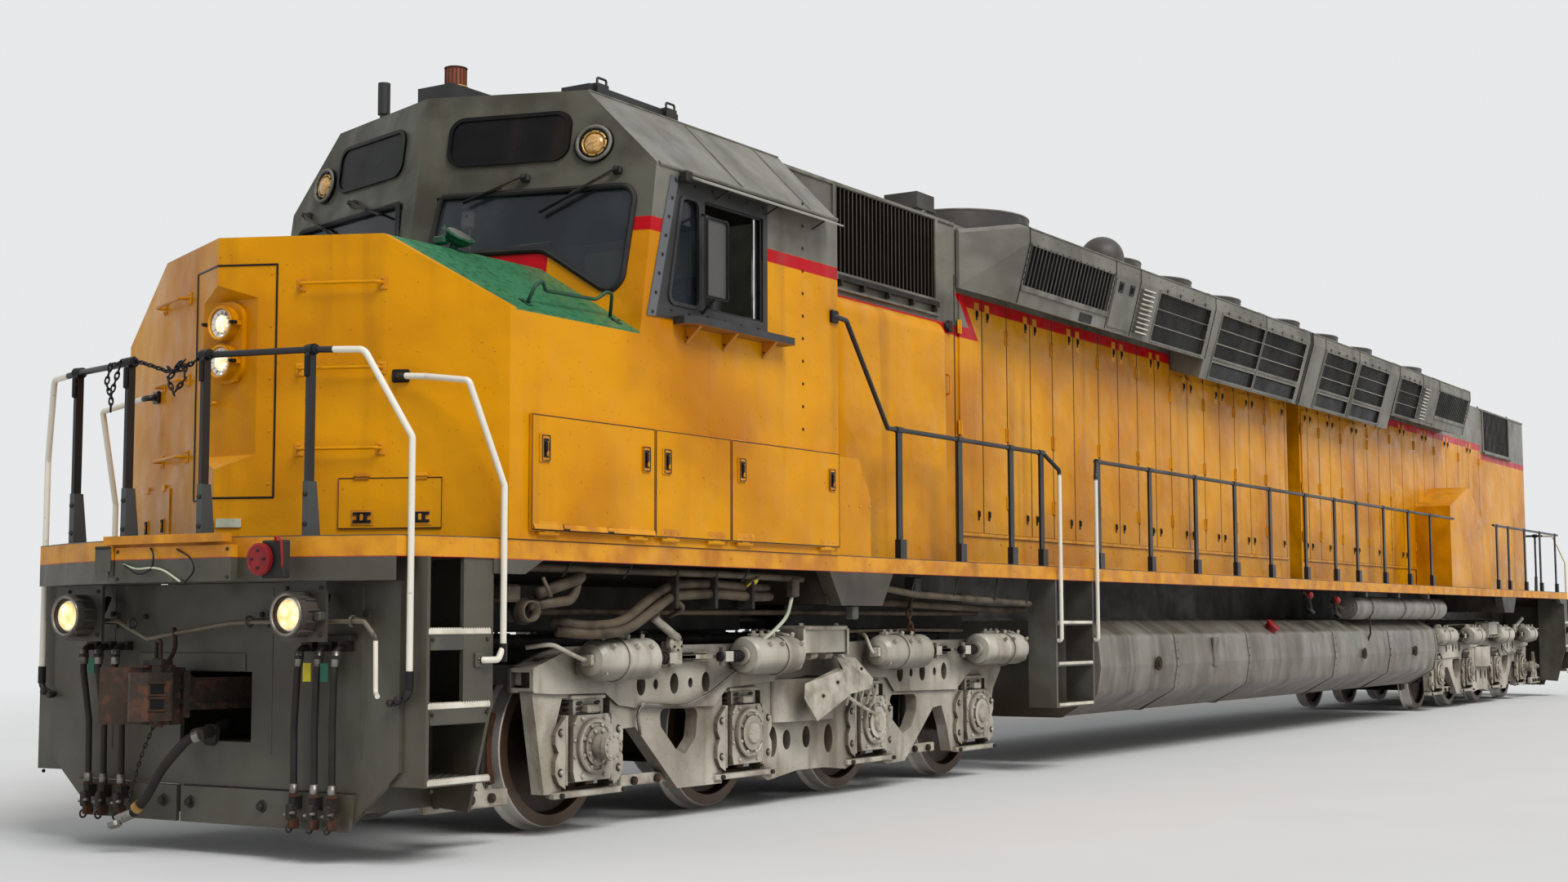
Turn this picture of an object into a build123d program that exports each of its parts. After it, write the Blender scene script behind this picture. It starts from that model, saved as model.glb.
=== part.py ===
"""Twin-engine diesel locomotive on two four-axle trucks, in millimetres.

+X is the front (the nose), +Y the left side, +Z up. The origin is under the middle of the
locomotive, at the lowest point of the wheel flanges. Heights in the values below are measured
from the wheel tread, and every piece is lifted by the flange depth when it is written.
"""
from build123d import *
import math
import os

# Running gear
FLANGE_DEPTH = 25.0
TREAD_R = 508.0
GAUGE_HALF = 690.0
RIM_WIDTH = 140.0
AXLE_R = 95.0
JOURNAL_R = 75.0
JOURNAL_TIP = 1110.0
BOLSTER_X = 9906.0
AXLE_PITCH = 1740.0
RUN_GAP = 6.0
FRAME_IN = 1000.0
FRAME_OUT = 1120.0
FRAME_TOP = 1120.0
FRAME_FOOT = 200.0
INNER_TIP = 3190.0
BOX_HALF = 235.0
CYLINDER_R = 130.0
CYLINDER_Y = FRAME_OUT + CYLINDER_R + 10.0
CYLINDER_Z = 1036.0
HOLES = [
    # distance from the bolster, half width, half height
    (1340.0, 48.0, 68.0),
    (1520.0, 26.0, 33.0),
    (1705.0, 48.0, 68.0),
    (1912.0, 26.0, 33.0),
    (2072.0, 48.0, 68.0),
]
FOOT_HOLES = [
    # distance from the bolster, height, half width, half height
    (475.0, 425.0, 60.0, 108.0),
    (285.0, 430.0, 52.0, 70.0),
    (20.0, 438.0, 52.0, 78.0),
    (-290.0, 412.0, 60.0, 105.0),
]
DROP_FRONT = [(1835.0, 705.0), (1822.0, 590.0), (1655.0, 440.0), (1548.0, 392.0), (1425.0, 500.0), (1395.0, 695.0)]
DROP_REAR = [(-1209.0, 700.0), (-1240.0, 520.0), (-1421.0, 395.0), (-1560.0, 440.0), (-1646.0, 560.0), (-1649.0, 694.0)]

# Underframe
DECK_TOP = 1730.0
SILL_BOTTOM = 1615.0
SILL_WALL = 90.0
DECK_PLATE = 30.0
BODY_HALF = 1560.0
DECK_END = 14175.0
CENTRE_SILL_BOTTOM = 1270.0
CENTRE_SILL_Y = (330.0, 450.0)
BOWL_R = 260.0
BOWL_FACE = CENTRE_SILL_BOTTOM - 60.0
SEAT = 0.3

# End platforms
PLATFORM_PLAN = [
    # x of the platform's edge, distance from the middle
    (DECK_END, BODY_HALF),
    (14590.0, 1435.0),
    (14790.0, 940.0),
    (14950.0, 305.0),
]
FASCIA_BOTTOM = 1488.0
PILOT_X = 14500.0
PILOT_T = 30.0
PILOT_HALF = 1387.0
PILOT_FOOT = 160.0
WELL_X = (13940.0, 14440.0)
WELL_IN = 1120.0
STEP_Z = (430.0, 830.0, 1225.0)
COUPLER_Z = 870.0
COUPLER_PIN_X = 13870.0
COUPLER_PIN_R = 45.0
COUPLER_LENGTH = 1130.0
COUPLER_SWING = 14.0
POCKET_REAR_X = COUPLER_PIN_X - 310.0

# Nose and cab
SHEET = 40.0
SIDE_HALF = 1570.0
NOSE_RIDGE_X = 14550.0
NOSE_CORNER_X = 13840.0
NOSE_TOP = 3465.0
NOSE_FLAT_HALF = 890.0
NOSE_SHOULDER = 3030.0
NOSE_REAR_X = 12590.0
DOOR_HALF = 318.0
DOOR_Z = (1975.0, 3300.0)
LAMP_PLATE_X = 14450.0
LAMP_FIELD_Z = (2218.0, 3113.0)
LAMP_TIP_Z = (2134.0, 3189.0)
FLAP_T = 9.0
FLAP_Z = (1790.0, 2075.0)
CAB_REAR_X = 10250.0
CAB_RIDGE_X = 12953.0
CAB_RIDGE_Z = 3726.0
CAB_RAKE = 0.156
CAB_SWEEP = 0.284
ROOF_Z = 4660.0
ROOF_EDGE_Z = 4630.0
ROOF_EDGE_HALF = 1070.0
EAVE_Z = 4120.0
CAB_FLOOR_Z = 2460.0
WINDOW_Z = (3250.0, 3960.0)
WINDOW_X = (11215.0, 12345.0)
WINDOW_LEAN = 145.0
MULLION_X = (11932.0, 11960.0)
LOCKER_Z = (1778.0, 2440.0)
LOCKER_T = 20.0
LOCKER_GAP = 6.0
LOCKERS = [
    # rear edge x, front edge x
    (12495.0, 13672.0),
    (11657.0, 12479.0),
    (10281.0, 11641.0),
]
CAB_DOOR_Y = (1005.0, 1450.0)
CAB_DOOR_Z = (2480.0, 4215.0)
CAB_DOOR_T = 40.0
DOOR_GAP = 10.0
HINGE_R = 12.0
LOCKER_HINGE_R = 12.0

# Hoods and upper housings
HOOD_HALF = 970.0
HOOD_WALL = 60.0
HOOD_ROOF = 4640.0
PANEL_T = 14.0
PANEL_FOOT = 2020.0
PANEL_TOP = 4045.0
PANEL_TOP_LOW = 3835.0
FRONT_HOOD_X = (-1350.0, 7290.0)
REAR_HOOD_X = (-10900.0, -1810.0)
REAR_END_X = -13900.0
FLARE_HALF = 1500.0
FLARE_TOP = 4660.0
FLARE_LIP_Z = 4487.0
SHORT_FOOT = (1360.0, 3970.0)
LONG_FOOT = (1295.0, 3785.0)
UNDER_SLOPE = 0.33
GRILLE_DEPTH = 45.0
FRAME_DEPTH = 26.0
FRONT_DOOR_LINES = [
    -1290.0, -1221.0, -523.0, 24.0, 510.0, 990.0, 1470.0, 1950.0, 2438.0, 2868.0, 3336.0, 3828.0, 4310.0,
    4891.0, 5368.0, 5840.0, 6322.0, 6806.0, 7240.0,
]
REAR_DOOR_LINES = [
    -10700.0, -10050.0, -9410.0, -8700.0, -8000.0, -7450.0, -6900.0, -6290.0, -5680.0, -5140.0, -4600.0,
    -4020.0, -3440.0, -2990.0, -2540.0, -2090.0, -1860.0,
]
FANS = [
    # centre x, radius, roof height, top height
    (5376.0, 700.0, FLARE_TOP, 5070.0),
    (2340.0, 600.0, FLARE_TOP, 5105.0),
    (850.0, 600.0, FLARE_TOP, 5105.0),
    (-780.0, 600.0, FLARE_TOP, 5105.0),
    (-3000.0, 600.0, FLARE_TOP, 5105.0),
    (-4630.0, 600.0, FLARE_TOP, 5105.0),
    (-6220.0, 600.0, FLARE_TOP, 5105.0),
    (-8850.0, 600.0, HOOD_ROOF, 5105.0),
]

# Fuel tank
TANK_X = (-6050.0, 5450.0)
TANK_HALF = 1450.0
TANK_Z = (400.0, CENTRE_SILL_BOTTOM - SEAT)
TANK_SEAMS = (-6025.0, -3800.0, -1500.0, 1500.0, 3560.0, 5425.0)
TANK_CAPS = (-4900.0, -2600.0, 4100.0)
RESERVOIR_X = (-6600.0, -2300.0)

# Rails and steps
RAIL_R = 18.0
RAIL_Y = 1525.0
RAIL_Z = 2690.0
POST_T = 20.0
POST_W = 70.0
LADDER_X = (5800.0, 6600.0)
LADDER_FOOT_Z = 530.0
LADDER_Y = (1290.0, 1550.0)
LADDER_SIDE = 30.0
END_POSTS = [
    # x, distance from the middle
    (14900.0, 305.0),
    (14740.0, 940.0),
]
HOSE_Y = [
    # top, foot: distances from the middle
    (741.0, 693.0),
    (885.0, 845.0),
    (1013.0, 976.0),
]
DROP_Y = 1595.0
DROP_Z = 1100.0

LIFT = Pos(0, 0, FLANGE_DEPTH)
POST_X = (
    (9285.0, 8306.0, 7385.0, 6800.0),
    (5600.0, 4386.0, 3191.0, 2061.0, 956.0, -250.0, -1348.0, -2233.0, -3387.0, -4520.0, -5613.0),
    (-9400.0, -10140.0, -11250.0, -12350.0, -13500.0),
)


def slab(x, y, z):
    """Box between the low and high values of each axis."""
    size = Box(x[1] - x[0], y[1] - y[0], z[1] - z[0])
    return Pos((x[0] + x[1]) / 2, (y[0] + y[1]) / 2, (z[0] + z[1]) / 2) * size


def prism(points, axis, low, high, radius=0.0):
    """Flat outline pushed along one axis; its points give the other two values in order."""
    turn = {"x": lambda a, b: (low, a, b), "y": lambda a, b: (a, low, b), "z": lambda a, b: (a, b, low)}
    push = {"x": (1, 0, 0), "y": (0, 1, 0), "z": (0, 0, 1)}
    face = Face(Wire.make_polygon([Vector(*turn[axis](a, b)) for a, b in points], close=True))
    if radius:
        face = face.fillet_2d(radius, face.vertices())
    return extrude(face, amount=high - low, dir=push[axis])


def rod(start, end, radius):
    """Round bar between two points."""
    start = Vector(*start)
    run = Vector(*end) - start
    base = Plane(origin=start, z_dir=run)
    return base * Cylinder(radius, run.length, align=(Align.CENTER, Align.CENTER, Align.MIN))


def pipe(points, radius, bend):
    """Round bar along straight runs with rounded corners."""
    spots = [Vector(*point) for point in points]
    edges = []
    start = spots[0]
    for before, corner, after in zip(spots, spots[1:], spots[2:]):
        back = (before - corner).normalized()
        ahead = (after - corner).normalized()
        half = math.acos(max(-1.0, min(1.0, back.dot(ahead)))) / 2
        reach = bend / math.tan(half)
        middle = corner + (back + ahead).normalized() * (bend / math.sin(half) - bend)
        edges.append(Edge.make_line(start, corner + back * reach))
        edges.append(Edge.make_three_point_arc(corner + back * reach, middle, corner + ahead * reach))
        start = corner + ahead * reach
    edges.append(Edge.make_line(start, spots[-1]))
    path = Wire(edges)
    profile = Plane(origin=path @ 0, z_dir=path % 0) * Circle(radius)
    return sweep(profile, path=path)


def mirrored(points):
    """Half an outline and its mirror image about the second axis, as one closed outline."""
    return points + [(-a, b) for a, b in reversed(points)]


def fuse(pieces):
    """One solid from pieces that meet."""
    return pieces[0] + pieces[1:]


def other_side(shape):
    """The same piece on the right side."""
    return mirror(shape, about=Plane.XZ)


def turned(shape):
    """The same piece at the other end, turned half round."""
    return Rot(0, 0, 180) * shape


def save(name, *shapes):
    """Write a node; every piece in it stays its own solid."""
    solids = [LIFT * solid for shape in shapes for solid in shape.solids()]
    whole = solids[0] if len(solids) == 1 else Compound(children=solids)
    export_step(whole, os.path.join("parts", name + ".step"))


def underframe():
    """Deck plate, side sills, deep centre sills, body bolsters and jacking pads."""
    section = mirrored([
        (BODY_HALF, SILL_BOTTOM),
        (BODY_HALF, DECK_TOP),
    ])
    inner = BODY_HALF - SILL_WALL
    deck = prism(section, "x", -DECK_END, DECK_END)
    under = slab((-DECK_END - 1, DECK_END + 1), (-inner, inner), (SILL_BOTTOM - 1, DECK_TOP - DECK_PLATE))
    pieces = [deck - under]
    low, high = CENTRE_SILL_Y
    sill_end = POCKET_REAR_X
    for side in (-1, 1):
        y = sorted((side * low, side * high))
        pieces.append(slab((-sill_end, sill_end), y, (CENTRE_SILL_BOTTOM, DECK_TOP - DECK_PLATE)))
        y = sorted((side * (low - 20), side * (high + 70)))
        flange = (CENTRE_SILL_BOTTOM, CENTRE_SILL_BOTTOM + 22)
        pieces.append(slab((-sill_end, sill_end), y, flange))
    for end in (-1, 1):
        centre = end * BOLSTER_X
        x = (centre - 350, centre + 350)
        pieces.append(slab(x, (-inner - 5, inner + 5), (CENTRE_SILL_BOTTOM + 120, DECK_TOP - DECK_PLATE)))
        bowl = Cylinder(BOWL_R, 180, align=(Align.CENTER, Align.CENTER, Align.MIN))
        pieces.append(Pos(centre, 0, BOWL_FACE) * bowl)
        pieces.append(slab(x, (-high, high), (CENTRE_SILL_BOTTOM, CENTRE_SILL_BOTTOM + 130)))
        for side in (-1, 1):
            outline = [
                (centre - 470, SILL_BOTTOM + 20),
                (centre - 290, 1378),
                (centre + 290, 1378),
                (centre + 470, SILL_BOTTOM + 20),
            ]
            pad = prism(outline, "y", 0, 110)
            y = side * (BODY_HALF - 55)
            pieces.append(Pos(0, y - 55, 0) * pad)
    save("underframe", fuse(pieces))


def cut_lever():
    """Uncoupling rod across the pilot on its brackets, with the handle at the left side."""
    x = PILOT_X + 110
    rod_points = [
        (x, -883, 1283), (x, -709, 1280), (x, -450, 1178), (x, 225, 1266), (x, 382, 1272),
        (x, 1229, 1272), (x, 1314, 1190), (x, 1320, 897), (x + 45, 1375, 881),
    ]
    lever = pipe(rod_points, 13, 30)
    for y in (-860, 382, 1150):
        lever += slab((PILOT_X + SEAT, x), (y - 12, y + 12), (1262, 1292))
        lever += slab((PILOT_X + SEAT, PILOT_X + 12), (y - 30, y + 30), (1240, 1330))
    return lever


def pilot(name, place):
    """End plate with its coupler opening, buffer fascia, draft pocket and corner step wells."""
    plate_outline = mirrored([
        (1064, PILOT_FOOT + 40),
        (PILOT_HALF, PILOT_FOOT + 316),
        (PILOT_HALF, FASCIA_BOTTOM),
    ])
    plate = prism(plate_outline, "x", PILOT_X - PILOT_T, PILOT_X)
    plate -= slab((PILOT_X - 200, PILOT_X + 50), (-285, 285), (605, 995))
    corner = BODY_HALF - 10
    edge = PLATFORM_PLAN + [(x, -y) for x, y in reversed(PLATFORM_PLAN)]
    platform = prism(edge, "z", SILL_BOTTOM, DECK_TOP)
    fascia = prism(edge[1:-1], "z", FASCIA_BOTTOM, SILL_BOTTOM)
    pocket = slab((POCKET_REAR_X, PILOT_X - PILOT_T), (-500, 500), (560, 1180))
    pocket -= slab((POCKET_REAR_X + 60, PILOT_X), (-440, 440), (600, 1140))
    web = slab((POCKET_REAR_X, PILOT_X - PILOT_T), (-450, 450), (1180, DECK_TOP - DECK_PLATE))
    web -= slab((POCKET_REAR_X + 30, PILOT_X), (-400, 400), (1200, SILL_BOTTOM))
    pin = Pos(COUPLER_PIN_X, 0, COUPLER_Z) * Cylinder(COUPLER_PIN_R, 560)
    step_plate = prism([(-303, 1683), (612, 1683), (612, 1489), (-303, 1489)], "x", 14930, 14975)
    drop_step = prism([(-382, 1700), (566, 1700), (566, 1747), (-382, 1747)], "x", 14930, 14995)
    receptacle = prism([(-452, 1530), (-318, 1530), (-318, 1690), (-452, 1690)], "x", 14890, 14985)
    pieces = [plate, platform, fascia, pocket, web, pin, step_plate, drop_step, receptacle]
    for side in (-1, 1):
        wall_y = sorted((side * WELL_IN, side * (WELL_IN + 20)))
        wall = slab((WELL_X[0], PILOT_X - 10), wall_y, (PILOT_FOOT + 90, SILL_BOTTOM))
        y = sorted((side * WELL_IN, side * corner))
        back_outline = [
            (y[0] if side > 0 else y[1], PILOT_FOOT + 90), (side * 1400, PILOT_FOOT + 70),
            (side * corner, 820), (side * corner, SILL_BOTTOM), (side * WELL_IN, SILL_BOTTOM),
        ]
        back = prism(back_outline, "x", WELL_X[0], WELL_X[0] + 25)
        post_y = sorted((side * (corner - 25), side * corner))
        post = slab((WELL_X[0], DECK_END + 10), post_y, (820, SILL_BOTTOM))
        low_x = WELL_X[0] + 10
        gusset_y = sorted((side * (BODY_HALF - 60), side * BODY_HALF))
        gusset = prism([(13520, SILL_BOTTOM), (13680, 1534), (low_x, 1534), (low_x, SILL_BOTTOM)], "y", *gusset_y)
        pieces += [wall, back, post, gusset]
        for height in STEP_Z:
            tread = slab((WELL_X[0] + 10, WELL_X[1] + 35), y, (height - 30, height))
            pieces.append(tread)
        cheek = slab((WELL_X[1] + 10, WELL_X[1] + 35), y, (PILOT_FOOT + 250, SILL_BOTTOM))
        pieces.append(cheek)
    body = fuse(pieces)
    blades = [
        prism([(-1130, 358), (-276, 350), (-276, 150), (-1060, 150)], "x", PILOT_X + SEAT, PILOT_X + 25),
        prism([(-240, 350), (1085, 350), (1057, 150), (-240, 150)], "x", PILOT_X + SEAT, PILOT_X + 25),
    ]
    save(name, place(body), place(cut_lever()), *[place(blade) for blade in blades])


def coupler(name, place, swing):
    """Knuckle coupler on its pin, turned by its swing about the pin."""
    x = COUPLER_PIN_X
    tip = x + COUPLER_LENGTH
    shank = slab((x - 60, tip - 330), (-75, 75), (COUPLER_Z - 90, COUPLER_Z + 90))
    for side in (-1, 1):
        y = sorted((side * 55, side * 90))
        shank -= slab((x + 170, tip - 400), y, (COUPLER_Z - 50, COUPLER_Z + 50))
    eye = Pos(x, 0, COUPLER_Z) * Cylinder(110, 180)
    collar = slab((tip - 380, tip - 330), (-115, 115), (COUPLER_Z - 130, COUPLER_Z + 130))
    head_outline = [
        (tip - 350, -110), (tip - 270, -190), (tip - 60, -235), (tip, -215), (tip - 40, -150),
        (tip - 130, -60), (tip - 150, 20), (tip - 120, 60), (tip - 220, 190), (tip - 350, 110),
    ]
    head = prism(head_outline, "z", COUPLER_Z - 165, COUPLER_Z + 150)
    knuckle_outline = [
        (tip - 230, 60), (tip - 110, 40), (tip - 20, 90), (tip - 5, 150), (tip - 70, 215), (tip - 240, 205),
    ]
    knuckle = prism(knuckle_outline, "z", COUPLER_Z - 140, COUPLER_Z + 125, 18)
    knuckle_pin = Pos(tip - 165, 150, COUPLER_Z) * Cylinder(32, 350)
    lock = slab((tip - 300, tip - 180), (-60, 60), (COUPLER_Z + 140, COUPLER_Z + 190))
    loop = pipe([(tip - 240, -20, COUPLER_Z + 185), (tip - 240, -20, COUPLER_Z + 300),
                 (tip - 240, 30, COUPLER_Z + 300), (tip - 240, 30, COUPLER_Z + 185)], 11, 20)
    body = fuse([shank, eye, collar, head, knuckle, knuckle_pin, lock, loop])
    for low in (-110, -25, 60):
        body -= slab((tip - 330, tip - 265), (100, 240), (COUPLER_Z + low, COUPLER_Z + low + 55))
    body -= Pos(x, 0, COUPLER_Z) * Cylinder(COUPLER_PIN_R + SEAT, 400)
    body = Pos(x, 0, 0) * Rot(0, 0, swing) * Pos(-x, 0, 0) * body
    save(name, place(body))


def nose_section(wall):
    """Nose cross-section with its sloped shoulders, brought in by a wall."""
    return mirrored([
        (SIDE_HALF - wall, DECK_TOP),
        (SIDE_HALF - wall, NOSE_SHOULDER - wall * 0.6),
        (NOSE_FLAT_HALF - wall * 0.3, NOSE_TOP - wall),
    ])


def nose_plan(wall):
    """Nose plan with its centre ridge, brought in by a wall."""
    return [
        (NOSE_REAR_X, -SIDE_HALF + wall),
        (NOSE_CORNER_X - wall * 0.6, -SIDE_HALF + wall),
        (NOSE_RIDGE_X - wall * 1.1, 0),
        (NOSE_CORNER_X - wall * 0.6, SIDE_HALF - wall),
        (NOSE_REAR_X, SIDE_HALF - wall),
    ]


def nose_block(wall):
    """Solid nose, brought in by a wall."""
    front = NOSE_RIDGE_X + 100
    section = prism(nose_section(wall), "x", NOSE_REAR_X, front)
    plan = prism(nose_plan(wall), "z", DECK_TOP, NOSE_TOP + 100)
    return section & plan


def cab_front(y, z):
    """X of the raked, swept cab front at a place on it."""
    return CAB_RIDGE_X - CAB_RAKE * (z - CAB_RIDGE_Z) - CAB_SWEEP * abs(y)


def cab_block(wall):
    """Solid cab with roof chamfers and a raked two-plane front, brought in by a wall."""
    half = SIDE_HALF - wall
    section = mirrored([
        (half, DECK_TOP),
        (half, EAVE_Z - wall * 0.4),
        (ROOF_EDGE_HALF - wall * 0.4, ROOF_EDGE_Z - wall),
        (0.0, ROOF_Z - wall),
    ])
    section.pop(len(section) // 2)
    rear = CAB_REAR_X + wall
    body = prism(section, "x", rear, CAB_RIDGE_X + 600)
    wires = []
    for z in (DECK_TOP, ROOF_Z + 50):
        outline = [
            (rear, -half), (cab_front(half, z) - wall, -half), (cab_front(0, z) - wall, 0),
            (cab_front(half, z) - wall, half), (rear, half),
        ]
        wires.append(Face(Wire.make_polygon([Vector(x, y, z) for x, y in outline], close=True)))
    return body & loft(wires, ruled=True)


def locker_openings():
    """Side openings behind the locker doors."""
    edge = 40.0
    return [
        slab((rear + edge, front - edge), (-2000, 2000), (LOCKER_Z[0] + edge, LOCKER_Z[1] - edge))
        for rear, front in LOCKERS
    ]


def knuckles(centre, axis, length, lug):
    """Hinge barrels on one axis: the middle one for the leaf, the outer two for its frame.

    The lug gives, along the two axes across the hinge, the box that ties a barrel to its plate.
    """
    half = length / 2
    spans = [(-half, half), (half + SEAT, length), (-length, -half - SEAT)]
    barrels = []
    for index, (low, high) in enumerate(spans):
        reach = lug[0] if index == 0 else lug[1]
        x, y, z = centre
        if axis == "z":
            bar = rod((x, y, z + low), (x, y, z + high), HINGE_R)
            tie = slab(reach[0], reach[1], (z + low, z + high))
        else:
            bar = rod((x + low, y, z), (x + high, y, z), HINGE_R)
            tie = slab((x + low, x + high), reach[0], reach[1])
        barrels.append(bar + tie)
    return barrels


def nose_hinges():
    """Barrels of the nose door's two hinges, inside its left edge."""
    back = nose_face(DOOR_HALF) - SHEET
    x, y = back - 2 * HINGE_R, DOOR_HALF + DOOR_GAP / 2
    leaf = ((x, back + 5), (y - 30, y))
    frame = ((x, back + 8), (y, y + 45))
    return [knuckles((x, y, z), "z", 90, (leaf, frame)) for z in (DOOR_Z[0] + 250, DOOR_Z[1] - 250)]


def face_irons():
    """Grab irons on both halves of the nose front, standing off its plane."""
    length = math.hypot(SIDE_HALF, NOSE_RIDGE_X - NOSE_CORNER_X)
    across = (SIDE_HALF / length, (NOSE_RIDGE_X - NOSE_CORNER_X) / length)
    irons = []
    for z in (2240, 2695, 3180):
        spots = []
        for y, off in ((458, -6), (458, 62), (893, 62), (893, -6)):
            spots.append((nose_face(y) + across[0] * off, y + across[1] * off, z))
        iron = pipe(spots, 10, 28)
        irons += [iron, other_side(iron)]
    return irons


def nose_shell():
    """Hollow nose with its front doorway, locker openings and a rear edge that meets the cab."""
    shell = nose_block(0) - nose_block(SHEET)
    shell -= cab_block(0)
    doorway = slab((14000, 15000), (-DOOR_HALF - DOOR_GAP, DOOR_HALF + DOOR_GAP),
                   (DOOR_Z[0] - RUN_GAP, DOOR_Z[1] + RUN_GAP))
    shell -= doorway
    for opening in locker_openings():
        shell -= opening
    shell = Part() + max(shell.solids(), key=lambda solid: solid.volume)
    skin = nose_block(-FLAP_T) - nose_block(2)
    for low, high in ((675, 1221), (-1200, -734)):
        shell += skin & slab((13800, 14600), (low, high), FLAP_Z)
    shell += skin & slab((14300, 14600), (18, 156), (1807, 1851))
    shell += face_irons()
    for barrels in nose_hinges():
        shell += barrels[1:]
    joint = cab_front(SIDE_HALF, LOCKER_Z[0])
    for number in (0, 1):
        for side in ("left", "right"):
            shell += [lug for lug in locker_hinges(number, side, 1) if lug.center().X > joint]
    save("nose_shell", shell)


def nose_face(y):
    """X of the nose front at a distance from the ridge."""
    return NOSE_RIDGE_X - (NOSE_RIDGE_X - NOSE_CORNER_X) / SIDE_HALF * abs(y)


def nose_door():
    """Ridged door leaf with its flat lamp field, and the twin headlight on it."""
    back = nose_face(DOOR_HALF) - SHEET
    leaf = prism([(back, -DOOR_HALF), (nose_face(DOOR_HALF), -DOOR_HALF), (NOSE_RIDGE_X, 0),
                  (nose_face(DOOR_HALF), DOOR_HALF), (back, DOOR_HALF)], "z", *DOOR_Z)
    low, high = LAMP_FIELD_Z
    tip_low, tip_high = LAMP_TIP_Z
    field = [
        (LAMP_PLATE_X, high), (LAMP_PLATE_X, low), (NOSE_RIDGE_X, tip_low),
        (NOSE_RIDGE_X + 50, tip_low - 42), (NOSE_RIDGE_X + 50, tip_high + 38), (NOSE_RIDGE_X, tip_high),
    ]
    leaf -= prism(field, "y", -400, 400)
    leaf += [barrels[0] for barrels in nose_hinges()]
    save("nose_door", leaf)
    plate_outline = [(-132, 2630), (132, 2630), (132, 3100), (-132, 3100)]
    plate = prism(plate_outline, "x", LAMP_PLATE_X + SEAT, LAMP_PLATE_X + 32, 100)
    lamps = [plate]
    for z in (2752, 2973):
        ring = Pos(LAMP_PLATE_X + 52, 0, z) * Rot(0, 90, 0) * Cylinder(103, 50)
        dish = Pos(LAMP_PLATE_X + 85, 0, z) * Rot(0, 90, 0) * Cylinder(86, 50)
        lamps.append(ring - dish)
        for side in (-1, 1):
            lamps.append(slab((LAMP_PLATE_X + 30, LAMP_PLATE_X + 70), sorted((side * 95, side * 124)), (z - 12, z + 12)))
    save("headlight", fuse(lamps))


def windshield(inset, low, high):
    """Windshield outline on the left side, brought in by an inset and cut along X."""
    outline = [
        (140 + inset, 3585 + inset), (140 + inset, 3975 - inset), (1400 - inset * 0.6, 3975 - inset),
        (1455 - inset, 3905 - inset * 0.4), (1427 - inset, 3362 + inset * 0.4), (1366 - inset * 0.6, 3300 + inset),
        (1302, 3312 + inset), (898, 3585 + inset),
    ]
    return prism(outline, "x", low, high)


def side_window_outline(inset):
    """Side window outline with its leaning front edge."""
    rear, front = WINDOW_X
    low, high = WINDOW_Z
    return [
        (rear + inset, low + inset), (front - inset, low + inset),
        (front - WINDOW_LEAN - inset, high - inset), (rear + inset, high - inset),
    ]


def cab_shell():
    """Hollow cab with cut windows, a doorway to the nose, rear doorways and locker openings."""
    shell = cab_block(0) - cab_block(SHEET)
    shell -= prism(side_window_outline(0), "y", -2000, 2000)
    screen = windshield(0, 11800, 13400)
    for opening in (screen, other_side(screen)):
        shell -= opening
    shell -= slab((12700, 13600), (-330, 330), (DECK_TOP - 10, 3400))
    y = (CAB_DOOR_Y[0] - DOOR_GAP, CAB_DOOR_Y[1] + DOOR_GAP)
    doorway = slab((CAB_REAR_X - 50, CAB_REAR_X + 100), y, (CAB_DOOR_Z[0] - RUN_GAP, CAB_DOOR_Z[1] + RUN_GAP))
    for opening in (doorway, other_side(doorway)):
        shell -= opening
    for opening in locker_openings():
        shell -= opening
    for barrels in cab_door_hinges():
        shell += barrels[1:] + [other_side(barrel) for barrel in barrels[1:]]
    joint = cab_front(SIDE_HALF, LOCKER_Z[0])
    for number in (0, 1, 2):
        for side in ("left", "right"):
            shell += [lug for lug in locker_hinges(number, side, 1) if lug.center().X < joint]
    lip = rod((CAB_REAR_X, SIDE_HALF - 4, EAVE_Z - 6), (cab_front(SIDE_HALF, EAVE_Z) - 25, SIDE_HALF - 4, EAVE_Z - 6), 16)
    shell += [lip, other_side(lip)]
    save("cab_shell", shell)


def cab_glazing():
    """Windshields in their plane and the front panes of the side windows."""
    skin = cab_block(14) - cab_block(24)
    screen = skin & windshield(0, 11800, 13400)
    panes = [screen, other_side(screen)]
    rear, front = WINDOW_X
    low, high = WINDOW_Z
    fixed = prism([(MULLION_X[1], low), (front, low), (front - WINDOW_LEAN, high), (MULLION_X[1], high)],
                  "y", SIDE_HALF - 24, SIDE_HALF - 14)
    bar = slab(MULLION_X, (SIDE_HALF - SHEET, SIDE_HALF), WINDOW_Z)
    slider = slab((rear, rear + 70), (SIDE_HALF - 34, SIDE_HALF - 24), WINDOW_Z)
    for piece in (fixed, bar, slider):
        panes += [piece, other_side(piece)]
    save("cab_glazing", *panes)


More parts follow.
